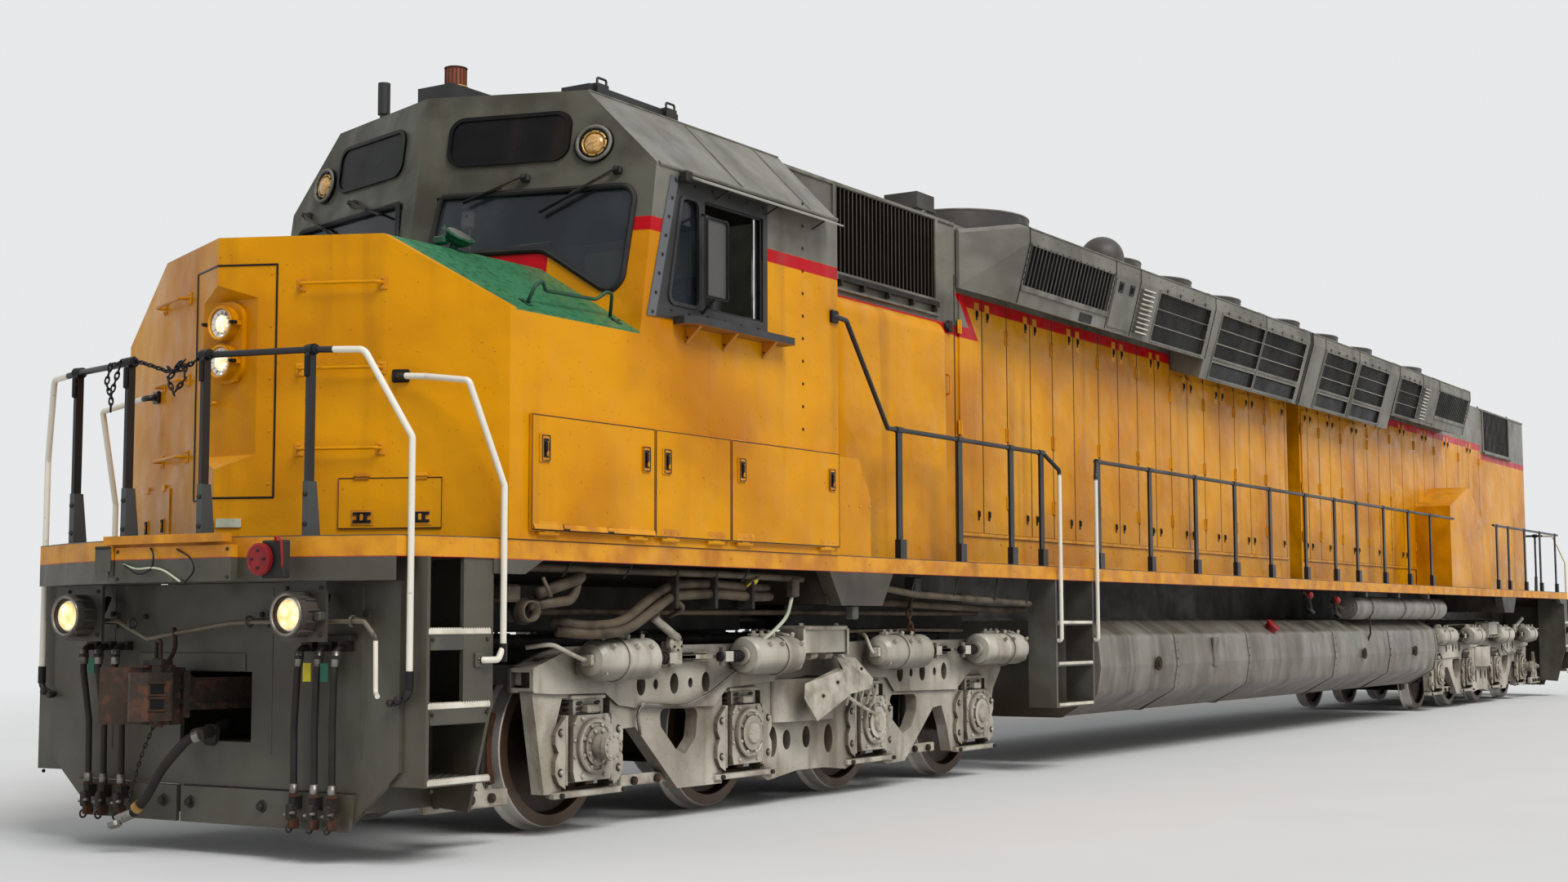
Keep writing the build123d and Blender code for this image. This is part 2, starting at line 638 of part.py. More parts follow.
def cab_window_gear():
    """Side window frame plate with its wind wing, the armrest on brackets, and the awning."""
    wall = SIDE_HALF + SEAT
    frame = prism([(11185, 3185), (12552, 3143), (12300, 4062), (11185, 4062)], "y", wall, wall + 9)
    frame -= prism([(12181, 3932), (12009, 3932), (12009, 3262), (12322, 3262)], "y", wall - 20, wall + 40, 45)
    frame -= slab((11240, 11930), (wall - 20, wall + 40), (3255, 3955))
    rim_outline = [(12205, 3955), (11986, 3955), (11986, 3239), (12352, 3239)]
    rim = prism(rim_outline, "y", wall + 5, wall + 20, 60)
    rim -= prism([(12181, 3932), (12009, 3932), (12009, 3262), (12322, 3262)], "y", wall, wall + 40, 45)
    wing = slab((11862, 12110), (1696, 1712), (3300, 3820))
    wing -= slab((11880, 12092), (1708, 1720), (3318, 3802))
    arms = [rod((11955, wall + 5, z), (11985, 1700, tip), 9) for z, tip in ((3868, 3812), (3225, 3308))]
    armrest = prism([(10990, wall), (11010, 1690), (12190, 1722), (12272, 1660), (12272, wall)], "z", 3118, 3168, 14)
    brackets = [prism([(wall, 3119), (1685, 3119), (wall + 22, 3035), (wall, 3010)], "x", x - 14, x + 14)
                for x in (11230, 11700, 12120)]
    awning = prism([(wall, 4098), (wall, 4082), (1722, 4022), (1727, 4032)], "x", 10420, 12180)
    pieces = [fuse([frame, rim, wing] + arms), fuse([armrest] + brackets), awning]
    save("cab_window_gear", *pieces, *[other_side(piece) for piece in pieces])


def cab_interior():
    """Floor, two seats on pedestals and the control stand."""
    half = SIDE_HALF - SHEET
    floor = slab((CAB_REAR_X + SHEET, 12480), (-half, half), (CAB_FLOOR_Z - 50, CAB_FLOOR_Z))
    pieces = [floor]
    for side in (-1, 1):
        y = side * 950
        pieces.append(Pos(11450, y, CAB_FLOOR_Z + 200) * Cylinder(70, 420))
        pieces.append(slab((11220, 11700), (y - 240, y + 240), (CAB_FLOOR_Z + 400, CAB_FLOOR_Z + 520)))
        pieces.append(slab((11150, 11250), (y - 230, y + 230), (CAB_FLOOR_Z + 420, CAB_FLOOR_Z + 1120)))
    stand = prism([(12000, CAB_FLOOR_Z - 10), (12330, CAB_FLOOR_Z - 10), (12330, CAB_FLOOR_Z + 900),
                   (12180, CAB_FLOOR_Z + 1000), (12000, CAB_FLOOR_Z + 850)], "y", -1100, -450)
    pieces.append(stand)
    save("cab_interior", fuse(pieces))


def cab_door_hinges():
    """Barrels of the left rear door's two hinges, on the outside of the cab's rear wall."""
    x, y = CAB_REAR_X - HINGE_R, CAB_DOOR_Y[0] - DOOR_GAP / 2
    leaf = ((x, CAB_REAR_X + 2), (y, y + 40))
    frame = ((x, CAB_REAR_X + 2), (HOOD_HALF + 4, y))
    return [knuckles((x, y, z), "z", 80, (leaf, frame)) for z in (CAB_DOOR_Z[0] + 250, CAB_DOOR_Z[1] - 300)]


def cab_door(side):
    """Rear cab door leaf with a window."""
    x = (CAB_REAR_X, CAB_REAR_X + CAB_DOOR_T)
    leaf = slab(x, CAB_DOOR_Y, CAB_DOOR_Z)
    leaf -= slab((x[0] - 10, x[1] + 10), (CAB_DOOR_Y[0] + 90, CAB_DOOR_Y[1] - 90), (3300, 4000))
    pane = slab((x[0] + 15, x[1] - 15), (CAB_DOOR_Y[0] + 90, CAB_DOOR_Y[1] - 90), (3300, 4000))
    leaf += pane
    leaf += [barrels[0] for barrels in cab_door_hinges()]
    save("cab_door_" + side, leaf if side == "left" else other_side(leaf))


def locker_hinges(number, side, part):
    """Hinge barrels under a locker door: part 0 is the leaf's, part 1 the wall's."""
    rear, front = LOCKERS[number]
    y = SIDE_HALF + LOCKER_GAP + LOCKER_T / 2
    z = LOCKER_Z[0] - LOCKER_HINGE_R
    leaf = ((y - LOCKER_HINGE_R, y + LOCKER_HINGE_R), (z, LOCKER_Z[0] + 4))
    wall = ((SIDE_HALF - 4, y), (z - 8, z + 8))
    found = []
    for x in (rear + 160, front - 160):
        barrels = knuckles((x, y, z), "x", 90, (leaf, wall))
        found += barrels[:1] if part == 0 else barrels[1:]
    return found if side == "left" else [other_side(barrel) for barrel in found]


def locker_door(number, side):
    """Bottom-hinged locker door with its latch plates."""
    rear, front = LOCKERS[number]
    y = SIDE_HALF + LOCKER_GAP
    leaf = slab((rear, front), (y, y + LOCKER_T), LOCKER_Z)
    marks = [front - 130, rear + 60] if number != 1 else [front - 130]
    for x in marks:
        leaf += slab((x, x + 70), (y + LOCKER_T - 2, y + LOCKER_T + 8), (LOCKER_Z[1] - 270, LOCKER_Z[1] - 110))
    leaf = leaf if side == "left" else other_side(leaf)
    leaf += locker_hinges(number, side, 0)
    save("locker_door_%s_%d" % (side, number + 1), leaf)


def hood_section(wall, roof=HOOD_ROOF):
    """Hood cross-section, brought in by a wall."""
    return mirrored([(HOOD_HALF - wall, DECK_TOP), (HOOD_HALF - wall, roof - wall)])


def slatted(x, y, z, count):
    """Upright slats across a recess in a side wall."""
    pitch = (x[1] - x[0]) / count
    return [slab((x[0] + pitch * (i + 0.35), x[0] + pitch * (i + 0.65)), y, z) for i in range(count)]


def intake_hood(name, x, grille_x, grille_z, steps):
    """Hood section with slatted intake grilles high on both sides and a ledge under them."""
    inner = (x[0] + HOOD_WALL, x[1] - HOOD_WALL)
    hood = prism(hood_section(0), "x", *x) - prism(hood_section(HOOD_WALL), "x", *inner)
    recess = slab(grille_x, (HOOD_HALF - GRILLE_DEPTH, HOOD_HALF + 10), grille_z)
    hood -= recess
    hood -= other_side(recess)
    slats = slatted(grille_x, (HOOD_HALF - GRILLE_DEPTH - 5, HOOD_HALF), (grille_z[0] - 5, grille_z[1] + 5), 26)
    border_x = (grille_x[0] - 45, grille_x[1] + 45)
    border = slab(border_x, (HOOD_HALF - 5, HOOD_HALF + 16), (grille_z[0] - 30, grille_z[1] + 20))
    border -= slab(grille_x, (HOOD_HALF - 50, HOOD_HALF + 30), grille_z)
    ledge = slab(border_x, (HOOD_HALF - 5, HOOD_HALF + 45), (grille_z[0] - 70, grille_z[0] - 30))
    trim = slats + [border, ledge]
    hood = hood + trim + [other_side(piece) for piece in trim]
    if steps:
        step = prism([(9743, DECK_TOP), (9743, 2156), (9916, 2430), (CAB_REAR_X, 2430), (CAB_REAR_X, DECK_TOP)],
                     "y", HOOD_HALF - 5, BODY_HALF - 20)
        hood = hood + [step, other_side(step)]
    save(name, hood)


def engine_hood(name, x, lines, low_tops):
    """Engine hood with tall service doors down both sides, set out by their joint lines."""
    inner = (x[0] + HOOD_WALL, x[1] - HOOD_WALL)
    hood = prism(hood_section(0), "x", *x) - prism(hood_section(HOOD_WALL), "x", *inner)
    panels = []
    for low, high in zip(lines, lines[1:]):
        top = PANEL_TOP_LOW if low_tops[0] < (low + high) / 2 < low_tops[1] else PANEL_TOP
        panels.append(slab((low + 9, high - 9), (HOOD_HALF - 5, HOOD_HALF + PANEL_T), (PANEL_FOOT, top)))
    hood = hood + panels + [other_side(panel) for panel in panels]
    save(name, hood)


def flare_face(foot, start, end, out, back):
    """Outline of a strip of the flared face between two heights on it, pushed out and in."""
    rise_y, rise_z = FLARE_HALF - foot[0], FLARE_LIP_Z - foot[1]
    length = math.hypot(rise_y, rise_z)
    along = (rise_y / length, rise_z / length)
    normal = (along[1], -along[0])
    points = []
    for part, off in ((start, out), (end, out), (end, -back), (start, -back)):
        y = foot[0] + rise_y * part + normal[0] * off
        z = foot[1] + rise_z * part + normal[1] * off
        points.append((y, z))
    return points


def upper_housing(name, spans, wings, grilles, frames, panels, rungs):
    """Flared roof housing over the hood: grilles, framed cores, control panels and rungs."""
    wall = HOOD_HALF + PANEL_T + SEAT
    pieces = []
    for low, high, foot in spans:
        under = foot[1] + (foot[0] - wall) * UNDER_SLOPE
        outline = mirrored([
            (wall, under), foot, (FLARE_HALF, FLARE_LIP_Z), (FLARE_HALF, FLARE_TOP - 40),
            (FLARE_HALF - 90, FLARE_TOP),
        ])
        pieces.append(prism(outline, "x", low, high))
    whole = fuse(pieces)
    whole -= slab((-20000, 20000), (-wall, wall), (1000, HOOD_ROOF + SEAT))
    trim = []
    for start, end, foot in wings:
        under = foot[1] + (foot[0] - wall) * UNDER_SLOPE
        large = [(wall, under), foot, (FLARE_HALF, FLARE_LIP_Z), (FLARE_HALF, FLARE_TOP - 40),
                 (FLARE_HALF - 90, FLARE_TOP), (wall, FLARE_TOP)]
        small = [(wall, under), (wall + 22, under - 8), (wall + 30, under + 15), (wall + 30, FLARE_TOP - 100),
                 (wall + 22, FLARE_TOP - 70), (wall, FLARE_TOP - 60)]
        faces = [Face(Wire.make_polygon([Vector(x, a, b) for a, b in points], close=True))
                 for x, points in ((start, large), (end, small))]
        trim.append(loft(faces, ruled=True))
    for low, high, foot, start, end in grilles:
        cut = prism(flare_face(foot, start, end, 30, GRILLE_DEPTH), "x", low, high)
        whole -= cut
        whole -= other_side(cut)
        pitch = (high - low) / 24
        for i in range(24):
            slat_x = (low + pitch * (i + 0.32), low + pitch * (i + 0.68))
            trim.append(prism(flare_face(foot, start - 0.01, end + 0.01, -6, GRILLE_DEPTH + 4), "x", *slat_x))
    for low, high, foot, start, end, rows in frames:
        cut = prism(flare_face(foot, start, end, 30, FRAME_DEPTH), "x", low, high)
        whole -= cut
        whole -= other_side(cut)
        for row in range(1, rows):
            middle = start + (end - start) * row / rows
            trim.append(prism(flare_face(foot, middle - 0.008, middle + 0.008, -8, FRAME_DEPTH + 4), "x",
                              low - 4, high + 4))
        for x in (low, high):
            trim.append(prism(flare_face(foot, start - 0.02, end + 0.02, 8, 6), "x", x - 14, x + 14))
        for part in (start, end):
            trim.append(prism(flare_face(foot, part - 0.014, part + 0.014, 8, 6), "x", low - 14, high + 14))
    for low, high, foot in panels:
        trim.append(prism(flare_face(foot, 0.08, 0.93, 10, 4), "x", low, high))
    for low, high, foot in rungs:
        for step in range(10):
            part = 0.1 + step * 0.085
            trim.append(prism(flare_face(foot, part, part + 0.03, 34, 4), "x", low, high))
    whole = whole + trim + [other_side(piece) for piece in trim]
    save(name, whole)


def blowers():
    """Blower housings with rounded corners beside the front hood, behind the cab."""
    body = slab((7900, 9730), (HOOD_HALF + SEAT, 1250), (DECK_TOP, 3700))
    outer = [edge for edge in body.edges() if edge.center().Y > 1240 and edge.center().Z > DECK_TOP + 10]
    ends = [edge for edge in body.edges() if edge.center().Z > 3690 and 1000 < edge.center().Y < 1240]
    body = fillet(outer + ends, 130)
    save("blower_housings", body, other_side(body))


def rear_boxes():
    """Sloped side boxes beside the rear hood."""
    outline = [(-9140, DECK_TOP), (-9140, 2500), (-7960, 3200), (-6870, 2880), (-6870, DECK_TOP)]
    body = prism(outline, "y", HOOD_HALF + PANEL_T + SEAT, 1480)
    save("rear_side_boxes", body, other_side(body))


def engines():
    """The two engine and generator sets as plain blocks on the deck."""
    sets = [slab(x, (-620, 620), (DECK_TOP, 3700)) for x in ((-900, 6900), (-9900, -2300))]
    save("engine_blocks", *sets)


def fuel_tank():
    """Long fuel tank with a rounded, many-sided section, end flanges and seam straps."""
    low, high = TANK_Z

    def section(out):
        return mirrored([
            (1050 + out, low - out), (TANK_HALF - 40 + out, low + 200), (TANK_HALF + out, low + 450),
            (TANK_HALF - 30 + out, low + 730), (1200 + out * 0.3, high),
        ])

    tank = prism(section(0), "x", *TANK_X, 70)
    for x in TANK_SEAMS:
        tank += prism(section(9), "x", x - 22, x + 22, 70)
    for x in TANK_CAPS:
        cap = rod((x, TANK_HALF - 30, 860), (x, TANK_HALF + 22, 860), 55)
        tank += [cap, other_side(cap)]
    save("fuel_tank", tank)


def reservoirs():
    """Main air reservoirs with domed ends, hung under the side sills."""
    low, high = RESERVOIR_X
    y, z, radius = 1330, 1420, 145
    tank = rod((low + 50, y, z), (high - 50, y, z), radius)
    for x, way in ((low + 50, -1), (high - 50, 1)):
        tank += rod((x, y, z), (x + way * 30, y, z), radius - 25) + rod((x, y, z), (x + way * 50, y, z), radius - 70)
    for x in (-5900, -4450, -3000):
        tank += slab((x - 30, x + 30), (y - 80, y + 70), (1500, DECK_TOP - DECK_PLATE - SEAT))
        tank += rod((x - 30, y, z), (x + 30, y, z), radius + 6)
    save("air_reservoirs", tank, other_side(tank))


def ladders():
    """Side ladders with three treads between the truck and the tank."""
    x0, x1 = LADDER_X
    pieces = []
    for x in (x0, x1 - LADDER_SIDE):
        pieces.append(slab((x, x + LADDER_SIDE), LADDER_Y, (LADDER_FOOT_Z, SILL_BOTTOM - SEAT)))
    for z in (LADDER_FOOT_Z + 30, LADDER_FOOT_Z + 380, LADDER_FOOT_Z + 730):
        pieces.append(slab((x0 + 20, x1 - 20), LADDER_Y, (z - 30, z)))
    body = fuse(pieces)
    save("side_ladders", body, other_side(body))


def side_rails(side):
    """Black side rail on flat posts, in three runs with white drops at the ladder."""
    drops = [LADDER_X[1] - LADDER_SIDE / 2, LADDER_X[0] + LADDER_SIDE / 2]
    top = [
        [(10320, SIDE_HALF + SEAT, 3410), (10320, DROP_Y, 3410), (10170, DROP_Y, 3400),
         (9455, RAIL_Y, RAIL_Z), (6760, RAIL_Y, RAIL_Z), (drops[0], DROP_Y, RAIL_Z - 140),
         (drops[0], DROP_Y, DROP_Z), (drops[0], LADDER_Y[1] + SEAT, DROP_Z)],
        [(drops[1], LADDER_Y[1] + SEAT, DROP_Z), (drops[1], DROP_Y, DROP_Z),
         (drops[1], DROP_Y, RAIL_Z - 140), (5640, RAIL_Y, RAIL_Z), (-6840, RAIL_Y, RAIL_Z)],
        [(-9180, RAIL_Y, RAIL_Z), (-13700, RAIL_Y, RAIL_Z)],
    ]
    solids = []
    for run, posts in zip(top, POST_X):
        rail = pipe(run, RAIL_R, 24) if len(run) > 2 else rod(*run, RAIL_R)
        for x in posts:
            rail += slab((x - POST_W / 2, x + POST_W / 2), (RAIL_Y - POST_T / 2, RAIL_Y + POST_T / 2),
                         (DECK_TOP, RAIL_Z - 5))
            rail += rod((x - 45, RAIL_Y, RAIL_Z), (x + 45, RAIL_Y, RAIL_Z), RAIL_R + 6)
            rail += slab((x - POST_W / 2 - 12, x + POST_W / 2 + 12), (RAIL_Y - POST_T / 2 - 4, BODY_HALF),
                         (DECK_TOP, DECK_TOP + 140))
        solids.append(rail)
    if side == "right":
        solids = [other_side(solid) for solid in solids]
    save("handrails_" + side, *solids)


def end_rails(name, place):
    """End platform posts with tapered feet, cross rails, corner grab rails and the nose side rails."""
    inner, outer = END_POSTS
    solids = []
    for side in (-1, 1):
        points = [
            (inner[0], side * (inner[1] - 40), 2730), (outer[0], side * outer[1], 2730),
            (14665, side * 1255, 2717), (14523, side * 1475, 2249), (14523, side * 1475, 880),
            (PILOT_X + RAIL_R + SEAT, side * 1365, 842),
        ]
        rail = pipe(points, RAIL_R, 55)
        for x, y in (inner, outer):
            y *= side
            rail += slab((x - 26, x + 26), (y - 12, y + 12), (DECK_TOP, 2722))
            foot = prism([(x - 70, DECK_TOP), (x - 36, DECK_TOP + 290), (x + 27, DECK_TOP + 290), (x + 28, DECK_TOP)],
                         "y", y - 20, y + 20)
            rail += foot
            rail += Pos(x, y, 2730) * Rot(90, 0, 0) * Cylinder(RAIL_R + 8, 80)
        solids.append(rail)
    if name.endswith("front"):
        flange_x = nose_face(998) + 2
        hold = [
            (flange_x, 998, 2646), (flange_x + 62, 1030, 2640), (14110, 1190, 2632), (14105, 1500, 2590),
            (13908, DROP_Y, 2016), (13908, DROP_Y, 1130), (13950, DROP_Y, 1062), (14060, DROP_Y, 1062),
            (14060, BODY_HALF - 10 + SEAT, 1062),
        ]
        hold_rail = pipe(hold, RAIL_R, 30)
        solids += [hold_rail, other_side(hold_rail)]
    save(name, *[place(solid) for solid in solids])


def lamps(name, place):
    """Ditch lamps on plates that hang from the platform."""
    cans = []
    for side in (-1, 1):
        y = side * 885
        z = 1309
        face = 14840
        plate = slab((14688, 14708), sorted((side * 725, side * 1045)), (1165, FASCIA_BOTTOM - SEAT))
        can = rod((14700, y, z), (face - 40, y, z), 113) + rod((face - 45, y, z), (face, y, z), 122)
        can += rod((14688, y, z), (14640, y, z), 80)
        can -= rod((face - 30, y, z), (face + 50, y, z), 104)
        for angle in (45, 135, 225, 315):
            turn = math.radians(angle)
            can += rod((face - 60, y + 126 * math.cos(turn), z + 126 * math.sin(turn)),
                       (face - 5, y + 126 * math.cos(turn), z + 126 * math.sin(turn)), 9)
        cans.append(can + plate)
    save(name, *[place(can) for can in cans])


def cab_lamps():
    """Blank number boxes with rounded rims, and round class lamps, on the raked cab front."""
    solids = []
    skin = cab_block(-20) - cab_block(-SEAT)
    over = cab_block(-60) - cab_block(-9)
    board = prism([(190, 4170), (1000, 4170), (1000, 4500), (190, 4500)], "x", 11800, 13400, 100)
    field = prism([(215, 4195), (975, 4195), (975, 4475), (215, 4475)], "x", 11800, 13400, 78)
    ring = rod((11800, 1159, 4263), (13400, 1159, 4263), 125)
    lens = rod((11800, 1159, 4263), (13400, 1159, 4263), 86)
    for cutter, hollow in ((board, field), (ring, lens)):
        piece = (skin & cutter) - (over & hollow)
        piece = max(piece.solids(), key=lambda solid: solid.center().X)
        solids += [piece, other_side(piece)]
    save("cab_lamps", *solids)


def roof_gear():
    """Antenna, beacon and hatch on the cab roof, each on its base."""
    z = ROOF_EDGE_Z - 5
    x, y = 12580, -600
    antenna = fuse([Pos(x, y, z + 30) * Cylinder(28, 60), Pos(x, y, z + 60) * Cylinder(12, 110),
                    Pos(x, y, z + 165) * Cylinder(42, 215)])
    base = slab((12330, 12740), (-150, 150), (ROOF_Z - 60, 4760))
    beacon = fuse([base, Pos(12540, 0, 4772) * Cylinder(82, 26), Pos(12540, 0, 4845) * Cylinder(70, 150)])
    hatch = slab((11450, 12430), (800, 1030), (ROOF_EDGE_Z - 30, 4700))
    for x in (11560, 12320):
        hatch += slab((x - 60, x + 60), (1000, 1055), (4640, 4712))
        hatch += pipe([(x - 48, 1042, 4700), (x - 48, 1042, 4748), (x + 48, 1042, 4748), (x + 48, 1042, 4700)], 8, 14)
    roof = cab_block(-SEAT)
    save("roof_gear", antenna - roof, beacon - roof, hatch - roof)


def roof_fans():
    """Fan rings with their guards along the roof, the stack box and the dark air horn dome."""
    solids = []
    for x, radius, base, top in FANS:
        ring = rod((x, 0, base + SEAT), (x, 0, top), radius) - rod((x, 0, base + 90), (x, 0, top + 50), radius - 30)
        ring += rod((x, 0, base + 60), (x, 0, top - 30), radius * 0.28)
        for angle in (0, 60, 120):
            bar = Rot(0, 0, angle) * slab((-radius + 10, radius - 10), (-9, 9), (top - 26, top - 8))
            ring += Pos(x, 0, 0) * bar
        solids.append(ring)
    box = slab((6750, 7070), (170, 500), (FLARE_TOP + SEAT, 5020))
    box += slab((6735, 7085), (155, 515), (4870, 4890))
    box += slab((6900, 7060), (180, 490), (HOOD_ROOF + SEAT, FLARE_TOP + 40))
    horn = rod((3040, 500, FLARE_TOP + SEAT), (3040, 500, 5020), 230) + Pos(3040, 500, 5020) * Sphere(230)
    horn -= slab((2700, 3400), (200, 800), (4600, FLARE_TOP + SEAT))
    save("roof_fans", *solids, box, horn)


def wheelset(number, x):
    """Two wheels and their axle, turned in one piece."""
    half = JOURNAL_TIP
    rim_out = GAUGE_HALF + RIM_WIDTH
    profile = [
        (0, 0), (AXLE_R, 0), (AXLE_R, GAUGE_HALF - 60), (AXLE_R + 40, GAUGE_HALF - 55),
        (AXLE_R + 50, GAUGE_HALF + 10), (TREAD_R - 90, GAUGE_HALF + 40), (TREAD_R - 70, GAUGE_HALF),
        (TREAD_R + FLANGE_DEPTH, GAUGE_HALF), (TREAD_R + FLANGE_DEPTH, GAUGE_HALF + 14),
        (TREAD_R, GAUGE_HALF + 34), (TREAD_R, rim_out - 8), (TREAD_R - 8, rim_out),
        (TREAD_R - 75, rim_out), (TREAD_R - 95, GAUGE_HALF + 80), (AXLE_R + 55, GAUGE_HALF + 60),
        (AXLE_R + 40, rim_out + 30), (AXLE_R, rim_out + 32), (AXLE_R, FRAME_IN - 30), (JOURNAL_R, FRAME_IN - 28),
        (JOURNAL_R, half), (0, half),
    ]
    face = Face(Wire.make_polygon([Vector(r, y, 0) for r, y in profile], close=True))
    wheel = revolve(face, Axis.Y, 360)
    body = wheel + mirror(wheel, about=Plane.XZ)
    save("wheelset_%d" % number, Pos(x, 0, TREAD_R) * body)


def belt_outline():
    """Thick upper belt of a side frame, as distance from the bolster and height."""
    return [
        (-3190, 1095), (-2950, 1115), (2715, 1115), (2881, 1077), (3157, 992), (3157, 846), (2951, 833),
        (2447, 824), (2311, 745), (2132, 722), (1240, 702), (1081, 820), (418, 852), (52, 880),
        (-1130, 835), (-1250, 728), (-2292, 712), (-2405, 781), (-2558, 866), (-3190, 888),
    ]


def web_outline():
    """Legs, pedestals and V arms of a side frame under its belt."""
    gaps = [AXLE_PITCH * number for number in (1.5, 0.5, -0.5, -1.5)]
    half = BOX_HALF + 5
    foot = FRAME_FOOT + 35
    return [
        (3140, 930), (3140, 860), (3019, foot), (gaps[0] + half, foot), (gaps[0] + half + 60, 640),
        (gaps[0] + half, 805), (gaps[0] - half, 805), (gaps[0] - half, foot), (gaps[0] - half - 75, foot),
        (gaps[0] - half - 30, 591), (2101, 600), (1633, 181), (gaps[1] + half, 179), (gaps[1] + half, 790),
        (gaps[1] - half, 790), (gaps[1] - half, 200), (531, 160), (143, 208), (-234, 204), (-535, 175),
        (gaps[2] + half, 200), (gaps[2] + half, 790), (gaps[2] - half, 790), (gaps[2] - half, 190),
        (-1168, 175), (-1451, 182), (-1927, 577), (-2070, 590), (-2157, 430), (-2230, 215),
        (gaps[3] + half, 215), (gaps[3] + half, 790), (gaps[3] - half, 790), (gaps[3] - half, 235),
        (-2905, 235), (-2930, 454), (-3010, 700), (-3150, 850), (-3150, 930),
    ]


def liner(centre, side):
    """Wear plate with its zigzag edge beside a bearing box."""
    edge = centre + side * (BOX_HALF + 5)
    points = [(0, 690), (70, 630), (98, 590), (98, 530), (66, 480), (98, 430), (98, 350), (60, 290), (0, 260)]
    return prism([(edge + side * a, b) for a, b in points], "y", FRAME_OUT - 30, FRAME_OUT + 6)


def side_frame():
    """One cast side frame with its openings, liners, bearing boxes and end box."""
    frame = prism(web_outline(), "y", FRAME_IN, FRAME_OUT - 25)
    frame += prism(belt_outline(), "y", FRAME_IN, FRAME_OUT, 18)
    frame += prism([(2700, 1115), (2881, 1077), (3157, 992), (3157, 846), (2760, 846)], "y", 920, FRAME_IN + 5)
    frame -= slab((3097, 3200), (950, 1092), (874, 968))
    frame -= slab((2960, 3040), (965, 1060), (980, 1100))
    for side in (-1, 1):
        for u, width, height in HOLES:
            hole = extrude(Ellipse(width, height), amount=200)
            frame -= Pos(side * u, FRAME_IN - 10, 865) * Rot(-90, 0, 0) * hole
    for outline in (DROP_FRONT, DROP_REAR):
        frame -= prism(outline, "y", FRAME_IN - 10, FRAME_OUT + 10, 50)
    for u, z, width, height in FOOT_HOLES:
        hole = extrude(Ellipse(width, height), amount=200)
        frame -= Pos(u, FRAME_IN - 10, z) * Rot(-90, 0, 0) * hole
    pocket = Pos(80, FRAME_OUT - 30, 560) * extrude(Ellipse(420, 105), amount=300)
    frame += pocket - slab((-500, 600), (800, FRAME_IN + 30), (500, 900))
    frame += slab((-225, 371), (FRAME_OUT - 10, 1290), (1045, 1209))
    frame += slab((-245, -215), (FRAME_OUT - 10, 1305), (1030, 1215))
    frame += slab((361, 391), (FRAME_OUT - 10, 1305), (1030, 1215))
    for number in (1.5, 0.5, -0.5, -1.5):
        u = number * AXLE_PITCH
        box = slab((u - BOX_HALF - 7, u + BOX_HALF + 7), (FRAME_IN, FRAME_OUT - 30), (290, 700))
        face = prism([(u - 175, 300), (u + 175, 300), (u + 195, 360), (u + 195, 640), (u + 150, 700),
                      (u - 150, 700), (u - 195, 640), (u - 195, 360)], "y", FRAME_IN, FRAME_OUT + 30)
        cover = rod((u, FRAME_OUT, TREAD_R), (u, FRAME_OUT + 55, TREAD_R), 166)
        cap = rod((u, FRAME_OUT, TREAD_R), (u, FRAME_OUT + 72, TREAD_R), 118)
        tie = slab((u - BOX_HALF - 110, u + BOX_HALF + 60), (FRAME_IN + 20, FRAME_OUT - 20), (205, 245))
        seat = slab((u - 150, u + 150), (FRAME_IN + 10, FRAME_OUT - 10), (690, 800))
        frame += [box, face, cover, cap, tie, seat, liner(u, 1), liner(u, -1)]
        if number == 1.5:
            frame += rod((u, FRAME_OUT, TREAD_R), (u, 1305, TREAD_R), 74)
            frame += rod((u, 1275, TREAD_R), (u, 1310, TREAD_R), 88)
        frame -= rod((u, FRAME_IN - 50, TREAD_R), (u, JOURNAL_TIP + RUN_GAP, TREAD_R), JOURNAL_R + SEAT)
    return frame


def truck(name, place):
    """Cast truck frame: two side frames joined by transoms and the bolster."""
    side = side_frame()
    cross = [
        slab((-300, 300), (-FRAME_IN - 5, FRAME_IN + 5), (930, BOWL_FACE - 60)),
        slab((3040, 3130), (-FRAME_IN - 5, FRAME_IN + 5), (890, 1010)),
        slab((1630, 1850), (-FRAME_IN - 5, FRAME_IN + 5), (930, 1090)),
        slab((-1850, -1630), (-FRAME_IN - 5, FRAME_IN + 5), (930, 1090)),
        Pos(0, 0, BOWL_FACE - 70 - SEAT) * Cylinder(BOWL_R + 60, 70, align=(Align.CENTER, Align.CENTER, Align.MIN)),
    ]
    body = fuse([side, other_side(side)] + cross)
    body = Pos(BOLSTER_X, 0, 0) * body
    save(name, place(body))


CYLINDERS = [
    # rear end u, front end u, side where the rod comes out
    (2191.0, 2808.0, -1),
    (431.0, 1097.0, 1),
    (-1431.0, -709.0, -1),
    (-3185.0, -2382.0, 1),
]


